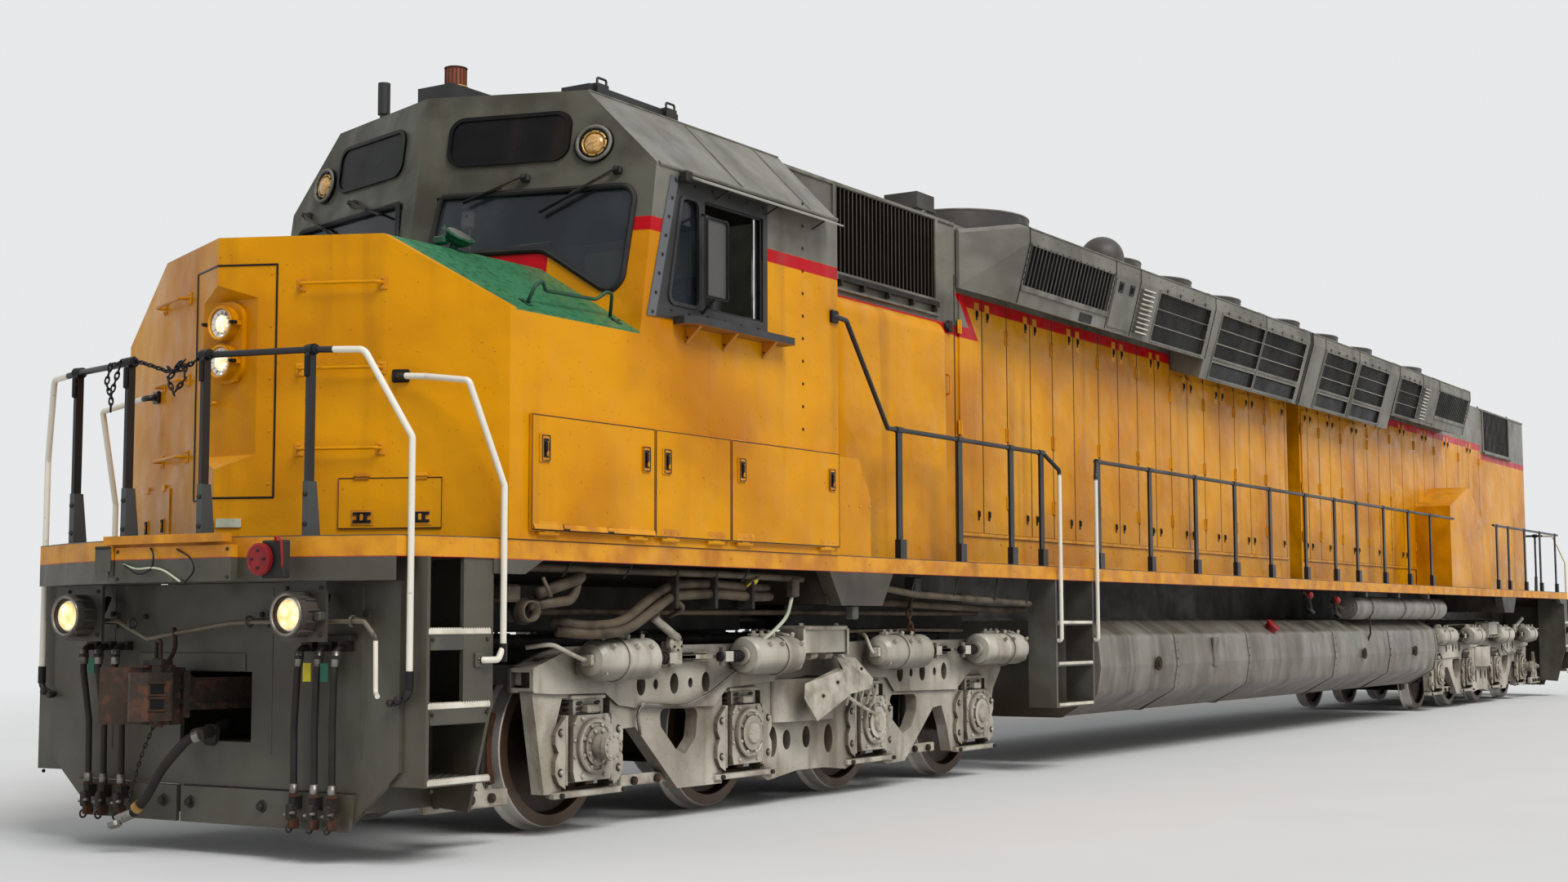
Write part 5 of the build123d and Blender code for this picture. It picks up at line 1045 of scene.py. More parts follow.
def pilot_gear():
    """Red cover, receptacle lid, cables, pin lever eyes, hose fittings, blade bolts and seams."""
    piece = Piece("pilot_gear")
    cover = front_side(14.985, 0.83, 1.6)
    disc = ((0.085, -0.02), (0.085, 0.006), (0.07, 0.012), (0.066, 0.008), (0.0, 0.008))
    piece.add(lathe(disc, 28), "red", cover)
    for spot in circle(4, 0.045):
        piece.add(bolt(0.009, 0.008), "dark", cover @ at(*spot) @ at(0, 0, 0.008))
    piece.add(box(0.05, 0.17, 0.2, 0.008), "dark", at(14.93, 0.9, 1.6))
    strap = ((14.96, 0.93, 1.69), (14.99, 0.95, 1.72), (14.97, 0.98, 1.7), (14.95, 0.97, 1.55))
    piece.add(tube(strap, 0.007, 6, 0.02), "red")
    piece.add(box(0.012, 0.125, 0.13, 0.004), "frame", at(14.991, -0.385, 1.615))
    piece.add(box(0.014, 0.09, 0.05, 0.006), "frame", at(14.991, -0.385, 1.53))
    piece.add(tube([(14.995, -0.44, 1.685), (14.995, -0.33, 1.685)], 0.009, 8), "dark")
    wires = (
        ("black", ((14.98, -0.01, 1.675), (15.0, 0.04, 1.64), (15.0, 0.03, 1.56), (15.0, -0.08, 1.525),
                   (15.0, -0.2, 1.585))),
        ("black", ((14.98, 0.2, 1.665), (15.0, 0.33, 1.62), (15.0, 0.37, 1.55), (15.0, 0.29, 1.485),
                   (14.99, 0.25, 1.5))),
        ("pale", ((14.985, -0.22, 1.59), (15.0, -0.1, 1.56), (15.0, 0.03, 1.57), (15.0, 0.12, 1.555),
                  (15.0, 0.25, 1.49))),
    )
    for look, points in wires:
        piece.add(tube(points, 0.0055, 6, 0.05), look, smooth=True)
    for y, z in ((-0.28, 1.66), (-0.28, 1.51), (0.585, 1.66), (0.585, 1.51), (0.18, 1.51)):
        piece.add(bolt(0.01, 0.008), "dark", front_side(14.975, y, z))
    for y, z in ((-0.579, 1.265), (0.372, 1.272), (-0.86, 1.282), (1.15, 1.272)):
        piece.add(ring(0.028, 0.008, 14), "frame", left_side(14.612, z, y), True)
        piece.add(bolt(0.016, 0.016), "dark", front_side(14.512, y, z + 0.04))
    piece.add(box(0.05, 0.36, 0.035, 0.006), "dark", at(14.53, 0.9, 1.185))
    piece.add(box(0.012, 0.87, 0.1, 0.006), "frame", at(14.504, -0.198, 1.049))
    for y in (-0.77, -0.382, -0.16, 0.41):
        place = front_side(14.526, y, 0.262)
        piece.add(lathe(((0.036, 0.0), (0.03, 0.008), (0.0, 0.008)), 14), "dark", place)
        piece.add(bolt(0.022, 0.028), "dark", place @ at(0, 0, 0.004))
    piece.add(tube([(14.502, -1.13, 0.362), (14.502, -0.276, 0.354)], 0.005, 6), "steel")
    piece.add(tube([(14.502, -0.24, 0.354), (14.502, 1.085, 0.354)], 0.005, 6), "dark")
    for y in (-0.86, 0.44, 1.12):
        piece.add(box(0.004, 0.012, 0.92, 0.001), "frame", at(14.501, y, 1.0))
    for side in (-1, 1):
        for top, foot in ((0.741, 0.693), (0.885, 0.845), (1.013, 0.976)):
            top, foot = side * top, side * foot
            hose_ends = (
                # first and last point, radius, sides, look
                ((14.59, top, 1.115), (14.595, top - 0.004 * side, 1.03), 0.024, 8, "steel"),
                ((14.592, top, 1.09), (14.593, top, 1.07), 0.03, 6, "dark"),
                ((14.57, foot, 0.4), (14.57, foot, 0.33), 0.024, 8, "steel"),
                ((14.57, foot, 0.345), (14.57, foot, 0.33), 0.03, 6, "rust"),
                ((14.6, foot - 0.04, 0.235), (14.61, foot + 0.045, 0.25), 0.009, 6, "steel"),
            )
            for start, end, radius, sides, look in hose_ends:
                piece.add(tube([start, end], radius, sides), look, smooth=sides == 8)
            piece.add(box(0.06, 0.045, 0.09, 0.01), "dark", at(14.585, foot, 0.25))
            piece.add(box(0.07, 0.03, 0.06, 0.01), "rust", at(14.575, foot + 0.01, 0.19))
            piece.add(ring(0.022, 0.006, 12), "dark", left_side(14.6, 0.165, foot), True)
    for y, look in ((0.808, "tag_yellow"), (0.936, "tag_green")):
        piece.add(box(0.006, 0.06, 0.1, 0.001), look, at(14.6, y, 1.0))
    piece.add(box(0.006, 0.05, 0.09, 0.001), "tag_green", at(14.6, -0.936, 1.02))
    piece.both_ends()
    hook = ((14.61, -0.23, 1.24), (14.62, -0.2, 1.12), (14.66, -0.24, 1.02), (14.72, -0.26, 1.03))
    piece.add(tube(hook, 0.013, 8, 0.05), "rust", smooth=True)
    piece.make("carbody", "frame_gray")


def brake_hose():
    """Train line pipe and hose under the coupler with its fittings, and a chain at the front one."""
    piece = Piece("brake_hose")
    runs = (
        # radius, corner reach, look, points
        (0.027, 0.12, "rubber", ((14.71, 0.1, 0.655), (14.74, 0.04, 0.625), (14.75, -0.15, 0.46),
                                 (14.75, -0.27, 0.29), (14.75, -0.38, 0.205))),
        (0.036, 0.1, "dark", ((14.3, -0.1, 0.7), (14.46, -0.04, 0.66), (14.62, 0.03, 0.655),
                              (14.71, 0.075, 0.652))),
    )
    for radius, reach, look, points in runs:
        piece.add(tube(points, radius, 12, reach), look, smooth=True)
    piece.add(box(0.07, 0.1, 0.12, 0.02), "dark", at(14.5, -0.03, 0.64))
    band = lathe(((0.0, -0.02), (0.036, -0.02), (0.036, 0.02), (0.0, 0.02)), 14)
    piece.add(band, "steel", facing((14.72, 0.1, 0.645), (0.3, -0.9, -0.3), FORWARD))
    piece.add(band, "brass", facing((14.75, -0.33, 0.245), (0, -0.8, -0.55), FORWARD))
    head = facing((14.75, -0.39, 0.2), (0, -1, -0.35), FORWARD)
    neck = ((0.0, -0.02), (0.03, -0.02), (0.03, 0.05), (0.024, 0.06), (0.0, 0.06))
    piece.add(lathe(neck, 14), "steel", head, True)
    piece.add(box(0.055, 0.05, 0.075, 0.014), "steel", head @ at(0, 0, 0.085))
    piece.add(knob(0.04, -0.012, 0.012, 0.028, 0.02, 16), "steel",
              head @ at(0.02, 0.02, 0.12) @ Matrix.Rotation(math.pi / 2, 4, "Y"))
    piece.both_ends()
    held = ((14.76, -0.21, 0.69), (14.77, -0.277, 0.56), (14.77, -0.36, 0.36), (14.76, -0.4, 0.25))
    chain(piece, held, "dark", 0.02, 0.004)
    piece.make("carbody", "hose_rubber")


def step_edges():
    """Worn white nosings with raised grip on the corner steps and side ladders, and step bolts."""
    piece = Piece("step_edges")
    for z in (0.43, 0.83, 1.225):
        piece.add(box(0.5, 0.022, 0.03, 0.004), "white", at(14.212, 1.545, z - 0.008))
        for i in range(24):
            piece.add(box(0.009, 0.02, 0.007, 0.002), "white", at(13.975 + 0.0205 * i, 1.545, z + 0.009))
        for i in range(6):
            for k in range(7):
                grip = at(13.99 + 0.078 * i, 1.17 + 0.055 * k, z + 0.002)
                piece.add(box(0.05, 0.009, 0.005, 0.002), "frame", grip)
        for x in (13.99, 14.43):
            piece.add(bolt(0.012, 0.01), "dark", left_side(x, z - 0.05, 1.55))
    for z in (1.16, 0.765):
        piece.add(box(0.46, 0.012, 0.085, 0.006), "frame", at(14.21, 1.543, z))
    piece.both_ends()
    for z in (0.56, 0.91, 1.26):
        for x in range(16):
            piece.add(box(0.012, 0.2, 0.006, 0.002), "frame", at(5.86 + 0.045 * x, 1.42, z + 0.002))
        piece.add(box(0.7, 0.016, 0.026, 0.004), "white", at(6.2, 1.552, z - 0.006))
    piece.both_sides().make("carbody", "frame_gray")


def rail_fittings():
    """Rail joints, post bolts, the end chains and the ladder rail ends."""
    piece = Piece("rail_fittings")
    for y in (0.305, 0.94):
        x = 14.9 if y < 0.5 else 14.74
        for z in (1.79, 1.95, 2.66):
            piece.add(bolt(0.014, 0.012), "dark", front_side(x + 0.026, y, z))
        piece.add(box(0.03, 0.024, 0.12, 0.006), "black", at(x + 0.03, y, 2.64))
        piece.add(rod(0.031, -0.03, 0.03, 12), "black",
                  facing((x, y, 2.73), (0.16 if y > 0.5 else 0.0, 1, 0)))
    for y, z in ((1.42, 0.86), (1.365, 0.842)):
        piece.add(bolt(0.022, 0.02), "dark", front_side(14.545, y, z))
    for spot in ((14.523, 1.475, 0.96), (13.908, 1.595, 1.1)):
        piece.add(rod(0.023, -0.05, 0.05, 12), "black", at(*spot))
    piece.add(box(0.08, 0.02, 0.08, 0.008), "frame", at(14.06, 1.558, 1.062))
    piece.add(bolt(0.02, 0.018), "dark", left_side(14.06, 1.062, 1.565))
    piece.both_sides()
    chains = (
        ((14.9, 0.29, 2.735), (14.905, 0.2, 2.69), (14.91, 0.09, 2.655), (14.905, 0.0, 2.66),
         (14.905, -0.13, 2.7), (14.9, -0.29, 2.745)),
        ((14.905, 0.1, 2.69), (14.92, 0.03, 2.61), (14.92, 0.075, 2.53), (14.92, 0.16, 2.6),
         (14.91, 0.15, 2.68)),
        ((14.91, 0.13, 2.7), (14.92, 0.06, 2.65), (14.92, 0.01, 2.69)),
        ((14.9, -0.3, 2.75), (14.91, -0.38, 2.72), (14.91, -0.45, 2.56), (14.91, -0.452, 2.46)),
        ((14.9, -0.33, 2.75), (14.905, -0.47, 2.72), (14.905, -0.5, 2.62), (14.905, -0.44, 2.52)),
    )
    for points in chains:
        chain(piece, points, "black")
    piece.both_ends().make("carbody", "rail_black")


# Joints between the hood doors along X
FRONT_LINES = (-1.29, -1.221, -0.523, 0.024, 0.51, 0.99, 1.47, 1.95, 2.438, 2.868, 3.336, 3.828, 4.31,
               4.891, 5.368, 5.84, 6.322, 6.806, 7.24)
REAR_LINES = (-10.7, -10.05, -9.41, -8.7, -8.0, -7.45, -6.9, -6.29, -5.68, -5.14, -4.6, -4.02, -3.44,
              -2.99, -2.54, -2.09, -1.86)


def hood_hardware(name, lines, low_tops):
    """Latches near the tops and feet of the hood doors, hinge pairs, dark joints and foot strips."""
    piece = Piece(name)
    for number, (low, high) in enumerate(zip(lines, lines[1:])):
        if high - low < 0.2:
            continue
        middle = (low + high) / 2
        short = low_tops[0] < middle < low_tops[1]
        top = 3.74 if short else 3.9
        x = low + 0.1 if number % 2 else high - 0.1
        hinge_x = high - 0.004 if number % 2 else low + 0.004
        piece.add(box(0.085, 0.2, 0.004, 0.001), "yellow_small", left_side(x, top + 0.01, HOOD))
        for z in (top, 2.17):
            place = left_side(x, z, HOOD + 0.003)
            piece.add(box(0.03, 0.085, 0.006, 0.002), "black", place)
            piece.add(box(0.014, 0.05, 0.018, 0.004), "dark", place @ at(0, 0.01, 0.008))
        for z in (top - 0.14, 2.9, 2.3):
            for off in (-0.022, 0.022):
                leaf = left_side(hinge_x + off, z, HOOD + 0.004)
                piece.add(box(0.024, 0.12, 0.014, 0.004), "yellow_small", leaf)
            piece.add(rod(0.01, -0.062, 0.062, 8), "yellow_small",
                      at(hinge_x, HOOD + 0.012, z))
        height = top + 0.14 - 2.03
        piece.add(box(0.01, 0.008, height, 0.001), "dark", at(low, HOOD - 0.003, 2.03 + height / 2))
    for i in range(int((lines[-1] - lines[0]) / 0.62)):
        x = lines[0] + 0.3 + 0.62 * i
        piece.add(bolt(0.01, 0.007), "yellow_small", left_side(x, 1.93, 0.97))
    low, high = lines[0], lines[-1]
    piece.add(box(high - low, 0.02, 0.03, 0.004), "yellow_small", at((low + high) / 2, 0.978, 2.0))
    piece.add(box(high - low, 0.012, 0.03, 0.003), "yellow_small", at((low + high) / 2, 0.975, 1.76))
    piece.both_sides().make("carbody", "body_yellow")


def housing_hardware():
    """Bolts, hinge tabs, grille mesh, seams, rung edges and panel latches on the flared housings."""
    piece = Piece("housing_hardware")

    def wire(first, last, foot, off, radius, look):
        """Thin bar between two spots on the face, each by X and height part."""
        run = [flare(x, foot, part, off).translation for x, part in (first, last)]
        piece.add(tube(run, radius, 4), look)

    framed = (
        # spans, foot, height part of the bolts, first and last height part of the mesh
        (SHORT_FRAMES, SHORT_FOOT, 0.03, 0.06, 0.95),
        (LONG_FRAMES, LONG_FOOT, 0.305, 0.34, 0.96),
    )
    for spans, foot, bolts, first, last in framed:
        for low, high in spans:
            width = high - low
            for i in range(4):
                place = flare(low + width * (i + 0.5) / 4, foot, 0.99, 0.006)
                piece.add(box(0.024, 0.05, 0.014, 0.004), "grey", place)
                piece.add(tube([(-0.03, 0.02, 0.004), (0.03, 0.02, 0.004)], 0.007, 6), "grey", place)
            spots = [(low + width * (i + 0.5) / 12, bolts) for i in range(12)]
            spots += [(x, part) for part in (0.42, 0.56, 0.7, 0.84) for x in (low, high)]
            for x, part in spots:
                piece.add(bolt(0.007, 0.006), "grey", flare(x, foot, part, 0.008))
            for row in range(1, 30):
                part = first + (last - first) * row / 30
                wire((low + 0.02, part), (high - 0.02, part), foot, -0.021, 0.003, "dark")
            for i in range(1, 40):
                x = low + width * i / 40
                wire((x, first), (x, last), foot, -0.021, 0.003, "dark")
    for low, high in LONG_FRAMES:
        for row in range(1, 10):
            part = 0.045 + 0.023 * row
            wire((low + 0.02, part), (high - 0.02, part), LONG_FOOT, -0.019, 0.006, "black")
    for low, high in GRILLES:
        for i in range(15):
            x = low + (high - low) * i / 14
            piece.add(bolt(0.009, 0.007), "dark", flare(x, SHORT_FOOT, 0.235, 0.0))
            piece.add(bolt(0.007, 0.006), "dark", flare(x, SHORT_FOOT, 0.99, 0.0))
        for i in range(7):
            for x in (low - 0.02, high + 0.02):
                piece.add(bolt(0.008, 0.006), "dark", flare(x, SHORT_FOOT, 0.3 + 0.11 * i, 0.0))
        ledge = flare((low + high) / 2, SHORT_FOOT, 0.27, 0.004)
        piece.add(box(high - low + 0.06, 0.05, 0.02, 0.004), "grey", ledge)
    piece.add(box(0.27, 0.08, 0.012, 0.002), "dark", flare(5.48, SHORT_FOOT, 0.1, 0.0))
    for x in (4.88, 4.62):
        piece.add(box(0.1, 0.1, 0.01, 0.003), "black", flare(x, SHORT_FOOT, 0.8, 0.014))
        piece.add(box(0.03, 0.06, 0.02, 0.004), "dark", flare(x, SHORT_FOOT, 0.8, 0.022))
    for middle, width in ((4.26, 0.28), (-5.76, 0.24)):
        for step in range(10):
            rung = flare(middle, SHORT_FOOT, 0.126 + step * 0.085, 0.035)
            piece.add(box(width, 0.012, 0.014, 0.003), "white", rung)
    for x in (6.895, 5.03, 4.44, 2.42, 0.845, -0.7, -0.8, -1.28, -2.64, -4.45, -5.6, -6.44, -8.15):
        foot = LONG_FOOT if -4.45 < x < 2.42 else SHORT_FOOT
        seam = through(flare, (x, foot, 0.02, 0.002), (x, foot, 1.0, 0.002))
        seam += [(x, 1.502, 4.618), (x, 1.41, 4.662), (x, 0.4, 4.663)]
        piece.add(tube(seam, 0.005, 4), "dark")
    for low, high in ((-0.72, 6.88), (-8.12, -0.82)):
        piece.add(box(high - low, 0.012, 0.012, 0.003), "grey", at((low + high) / 2, 1.503, 4.612))
        for i in range(int((high - low) / 0.3)):
            piece.add(bolt(0.008, 0.006), "grey", left_side(low + 0.15 + 0.3 * i, 4.56, 1.5))
    piece.both_sides().make("carbody", "roof_gray")


def roof_trim():
    """Roof seams, lifting eyes, fan guard rings, hatch latches and the beacon's ribs and band."""
    piece = Piece("roof_trim")
    for x in (10.6, 11.45):
        piece.add(tube([(x, 1.568, 4.125), (x, 1.07, 4.63), (x, 0.02, 4.661)], 0.006, 4), "grey")
    piece.add(tube([(10.25, 1.07, 4.632), (12.49, 1.07, 4.632)], 0.008, 6), "grey")
    for x in (9.9, 7.6, -11.3, -13.3):
        piece.add(box(0.1, 0.03, 0.012, 0.003), "grey", at(x, 0.85, 4.64))
        piece.add(ring(0.036, 0.01, 14), "grey", left_side(x, 4.675, 0.85), True)
    for low, high in ((7.3, 10.2), (-13.88, -10.92)):
        piece.add(box(high - low, 0.045, 0.03, 0.005), "grey", at((low + high) / 2, 0.962, 4.628))
    piece.both_sides()
    for x in (5.376, 2.34, 0.85, -0.78, -3.0, -4.63, -6.22, -8.85):
        radius, top = (0.7, 5.07) if x > 5 else (0.6, 5.105)
        for i in range(1, 9):
            piece.add(ring(radius * i / 9, 0.005, 36), "dark", at(x, 0, top - 0.015), True)
        piece.add(ring(radius - 0.004, 0.011, 48), "grey", at(x, 0, top - 0.008), True)
        for i in range(8):
            turn = spun(math.pi * i / 4 + 0.2)
            piece.add(box(radius * 0.62, 0.16, 0.012, 0.003), "dark",
                      at(x, 0, top - 0.12) @ turn @ at(radius * 0.6, 0, 0) @ Matrix.Rotation(0.5, 4, "X"))
            piece.add(bolt(0.013, 0.05), "dark", at(x, 0, top - 0.3) @ turn @ at(radius, 0, 0))
    for i in range(16):
        turn = spun(math.pi * i / 8)
        piece.add(box(0.006, 0.01, 0.125, 0.002), "rust", at(12.54, 0, 4.85) @ turn @ at(0.071, 0, 0))
    piece.add(ring(0.072, 0.006, 24), "rust", at(12.54, 0, 4.918), True)
    piece.add(ring(0.08, 0.007, 24), "brass", at(12.54, 0, 4.79), True)
    for y in (0.86, 0.97):
        piece.add(box(0.9, 0.012, 0.012, 0.003), "black", at(11.94, y, 4.704))
    for i in range(8):
        piece.add(bolt(0.01, 0.008), "dark", at(11.5 + 0.125 * i, 0.83, 4.7))
    piece.make("carbody", "roof_gray")


def intake_trim():
    """Ledge brackets, hood edge strip, handles and joint lines on the intake hoods and blowers."""
    piece = Piece("intake_trim")
    for x in (7.7, 8.1, 8.5, 8.9, 9.25):
        piece.add(box(0.02, 0.05, 0.05, 0.004), "dark", at(x, 1.0, 3.855))
    piece.add(box(1.72, 0.03, 0.02, 0.004), "grey", at(8.466, 0.985, 3.81))
    piece.add(box(0.01, 0.008, 2.4, 0.002), "dark", at(7.3, 0.972, 3.0))
    grip = [(7.461, y, z) for y, z in ((0.972, 3.33), (1.01, 3.32), (1.01, 3.17), (0.972, 3.16))]
    piece.add(tube(grip, 0.008, 6, 0.015), "yellow_small", smooth=True)
    for z in (3.4, 3.1, 2.8, 2.5, 2.2):
        piece.add(bolt(0.01, 0.008), "yellow_small", left_side(9.66, z, 1.21))
    piece.add(knob(0.03, 0, 0.02, 0.02, 0.03, 12), "dark", left_side(7.46, 3.74, 0.972))
    piece.add(box(0.06, 0.04, 0.1, 0.01), "dark", at(7.42, 0.99, 3.74))
    piece.add(box(0.09, 0.03, 0.09, 0.008), "black", at(10.32, SIDE + 0.014, 3.41))
    for x in (9.76, 9.9, 10.05):
        piece.add(bolt(0.009, 0.007), "yellow_small", left_side(x, 2.09, 1.54))
    piece.both_sides().make("carbody", "body_yellow")


def sill_piping():
    """Pipes, hoses, straps, small boxes and long ducts under the side sills, and the sill's bolts."""
    piece = Piece("sill_piping")
    pipes = (
        # radius, points
        (0.024, ((13.5, 1.4, 1.58), (11.3, 1.4, 1.575), (10.5, 1.42, 1.56))),
        (0.026, ((9.6, 1.44, 1.53), (8.9, 1.44, 1.47), (6.85, 1.44, 1.41), (6.7, 1.3, 1.4))),
        (0.032, ((13.0, 1.2, 1.27), (12.84, 1.34, 1.24), (12.5, 1.35, 1.255), (12.25, 1.35, 1.39),
                 (12.0, 1.35, 1.5), (11.55, 1.35, 1.512), (11.0, 1.35, 1.49), (10.7, 1.25, 1.5))),
        (0.032, ((13.0, 1.24, 1.21), (12.8, 1.36, 1.19), (12.49, 1.37, 1.205), (12.23, 1.37, 1.32),
                 (12.0, 1.37, 1.43), (11.55, 1.37, 1.45), (11.0, 1.37, 1.43), (10.7, 1.28, 1.44))),
        (0.035, ((13.4, 1.42, 1.43), (13.1, 1.42, 1.5), (12.98, 1.42, 1.53), (12.9, 1.3, 1.55))),
        (0.03, ((13.45, 1.4, 1.36), (13.05, 1.4, 1.395), (13.0, 1.4, 1.5), (12.9, 1.3, 1.58))),
        (0.02, ((13.1, 1.1, 1.33), (11.0, 1.1, 1.33), (7.2, 1.1, 1.33))),
        (0.03, ((9.4, 1.2, 1.42), (7.0, 1.2, 1.36), (6.3, 1.1, 1.36))),
        (0.012, ((13.45, 1.5, 1.52), (13.4, 1.52, 1.41))),
        (0.016, ((12.06, 1.3, 1.38), (12.0, 1.26, 1.3), (11.84, 1.24, 1.2))),
        (0.016, ((11.93, 1.36, 1.4), (11.83, 1.36, 1.35), (11.84, 1.24, 1.3))),
    )
    for radius, points in pipes:
        piece.add(tube(points, radius, 10, 0.16), "pipe", smooth=True)
    for x in (12.0, 11.56, 11.12):
        piece.add(box(0.03, 0.13, 0.24, 0.006), "dark", at(x, 1.36, 1.47))
    for x in (13.2, 12.6, 11.3, 9.0, 8.3, 7.6, 7.0):
        low = 1.56 if x > 10 else 1.53 - (9.6 - x) * 0.044
        piece.add(tube([(x, 1.44, low - 0.03), (x, 1.47, low), (x - 0.04, 1.48, 1.62)], 0.006, 6), "dark")
    for low, high in ((6.7, 9.6), (10.2, 13.1)):
        piece.add(box(high - low, 0.18, 0.3, 0.01), "dark", at((low + high) / 2, 0.62, 1.355))
    flange = facing((13.47, 1.44, 1.328), (0.25, 1, 0))
    mouth = ((0.062, -0.2), (0.062, 0.0), (0.052, 0.0), (0.05, -0.16), (0.0, -0.16))
    piece.add(lathe(mouth, 20), "pipe", flange, True)
    piece.add(rod(0.078, -0.1, -0.07, 20), "dark", flange)
    piece.add(box(0.14, 0.1, 0.1, 0.015), "pipe", at(13.62, 1.38, 1.43))
    lamp = facing((11.09, 1.38, 1.52), (-0.2, 0.6, -0.9), FORWARD)
    shade = ((0.03, -0.1), (0.055, -0.05), (0.075, 0.0), (0.07, 0.004), (0.0, 0.004))
    piece.add(lathe(shade, 14), "pipe", lamp)
    piece.add(lathe(dome(0.06, 0.02), 14), "tag_yellow", lamp @ at(0, 0, 0.002), True)
    piece.add(box(0.09, 0.06, 0.13, 0.01), "pipe", at(10.62, 1.42, 1.5))
    cable = ((10.633, 1.42, 1.44), (10.66, 1.4, 1.3), (10.76, 1.34, 1.19), (10.85, 1.3, 1.13))
    piece.add(tube(cable, 0.013, 8, 0.06), "pale", smooth=True)
    piece.add(box(0.08, 0.07, 0.1, 0.01), "frame", at(9.95, 1.5, 1.33))
    piece.add(box(0.1, 0.1, 0.16, 0.01), "dark", at(8.86, 1.4, 1.52))
    safety_chain = ((8.82, 1.36, 1.46), (8.8, 1.33, 1.3), (8.72, 1.3, 1.21), (8.62, 1.28, 1.15))
    chain(piece, safety_chain, "rust", 0.045, 0.011)
    piece.add(tube([(-0.3, 1.45, 1.6), (-0.37, 1.5, 1.54), (-0.45, 1.5, 1.4)], 0.018, 8, 0.05), "dark")
    for x, z in ((-0.38, 1.55), (-1.4, 1.5)):
        piece.add(knob(0.045, 0, 0.03, 0.02, 0.05, 12), "red", left_side(x, z, 1.5))
        piece.add(box(0.12, 0.05, 0.09, 0.01), "dark", at(x - 0.04, 1.47, z))
        piece.add(tube([(x, 1.48, z - 0.02), (x - 0.1, 1.46, z - 0.14), (x - 0.45, 1.42, z - 0.2),
                        (x - 0.6, 1.3, z - 0.18)], 0.02, 8, 0.1), "dark", smooth=True)
    for i in range(46):
        piece.add(bolt(0.008, 0.005), "yellow_small", left_side(-13.6 + 0.6 * i, 1.672, 1.56))
    piece.both_sides().make("carbody", "frame_gray")


def tank_gear():
    """Sight glass, filler, cap rims, seam bolts and straps on the fuel tank and reservoirs."""
    piece = Piece("tank_gear")
    for x in (-4.9, -2.6, 4.1):
        place = left_side(x, 0.86, 1.472)
        piece.add(ring(0.058, 0.012, 20), "rust", place, True)
        piece.add(knob(0.035, 0.0, 0.014, 0.02, 0.02, 14), "dark", place)
        bolt_circle(piece, place, 0.045, 6, 0.006, 0.006, "dark")
    for x in (-3.8, -1.5, 1.5, 3.56):
        for z in (0.66, 0.74, 0.82, 0.9, 0.98, 1.06):
            piece.add(bolt(0.01, 0.008), "grey", left_side(x, z, 1.455 if 0.7 < z < 1.0 else 1.45))
    piece.add(box(0.16, 0.03, 0.3, 0.01), "grey", at(2.5, 1.447, 0.95))
    piece.add(lathe(((0.07, 0), (0.07, 0.05), (0.085, 0.05), (0.085, 0.07), (0.0, 0.075)), 18), "red",
              facing((0.6, 1.37, 1.17), (0, 0.7, 0.7)))
    for x in (-5.9, -4.45, -3.0):
        angles = [math.pi * (i / 8 - 0.75) for i in range(11)]
        strap = [(x, 1.33 + 0.15 * math.cos(a), 1.42 + 0.15 * math.sin(a)) for a in angles]
        piece.add(tube(strap, 0.01, 6), "dark")
    outlet = ((-2.28, 1.33, 1.42), (-2.1, 1.33, 1.42), (-2.0, 1.25, 1.5))
    piece.add(tube(outlet, 0.022, 8, 0.05), "pipe", smooth=True)
    piece.add(tube([(-2.9, 1.46, 1.3), (-2.9, 1.46, 1.1), (-2.9, 1.42, 1.0)], 0.012, 6), "dark")
    piece.both_sides().make("carbody", "frame_gray")


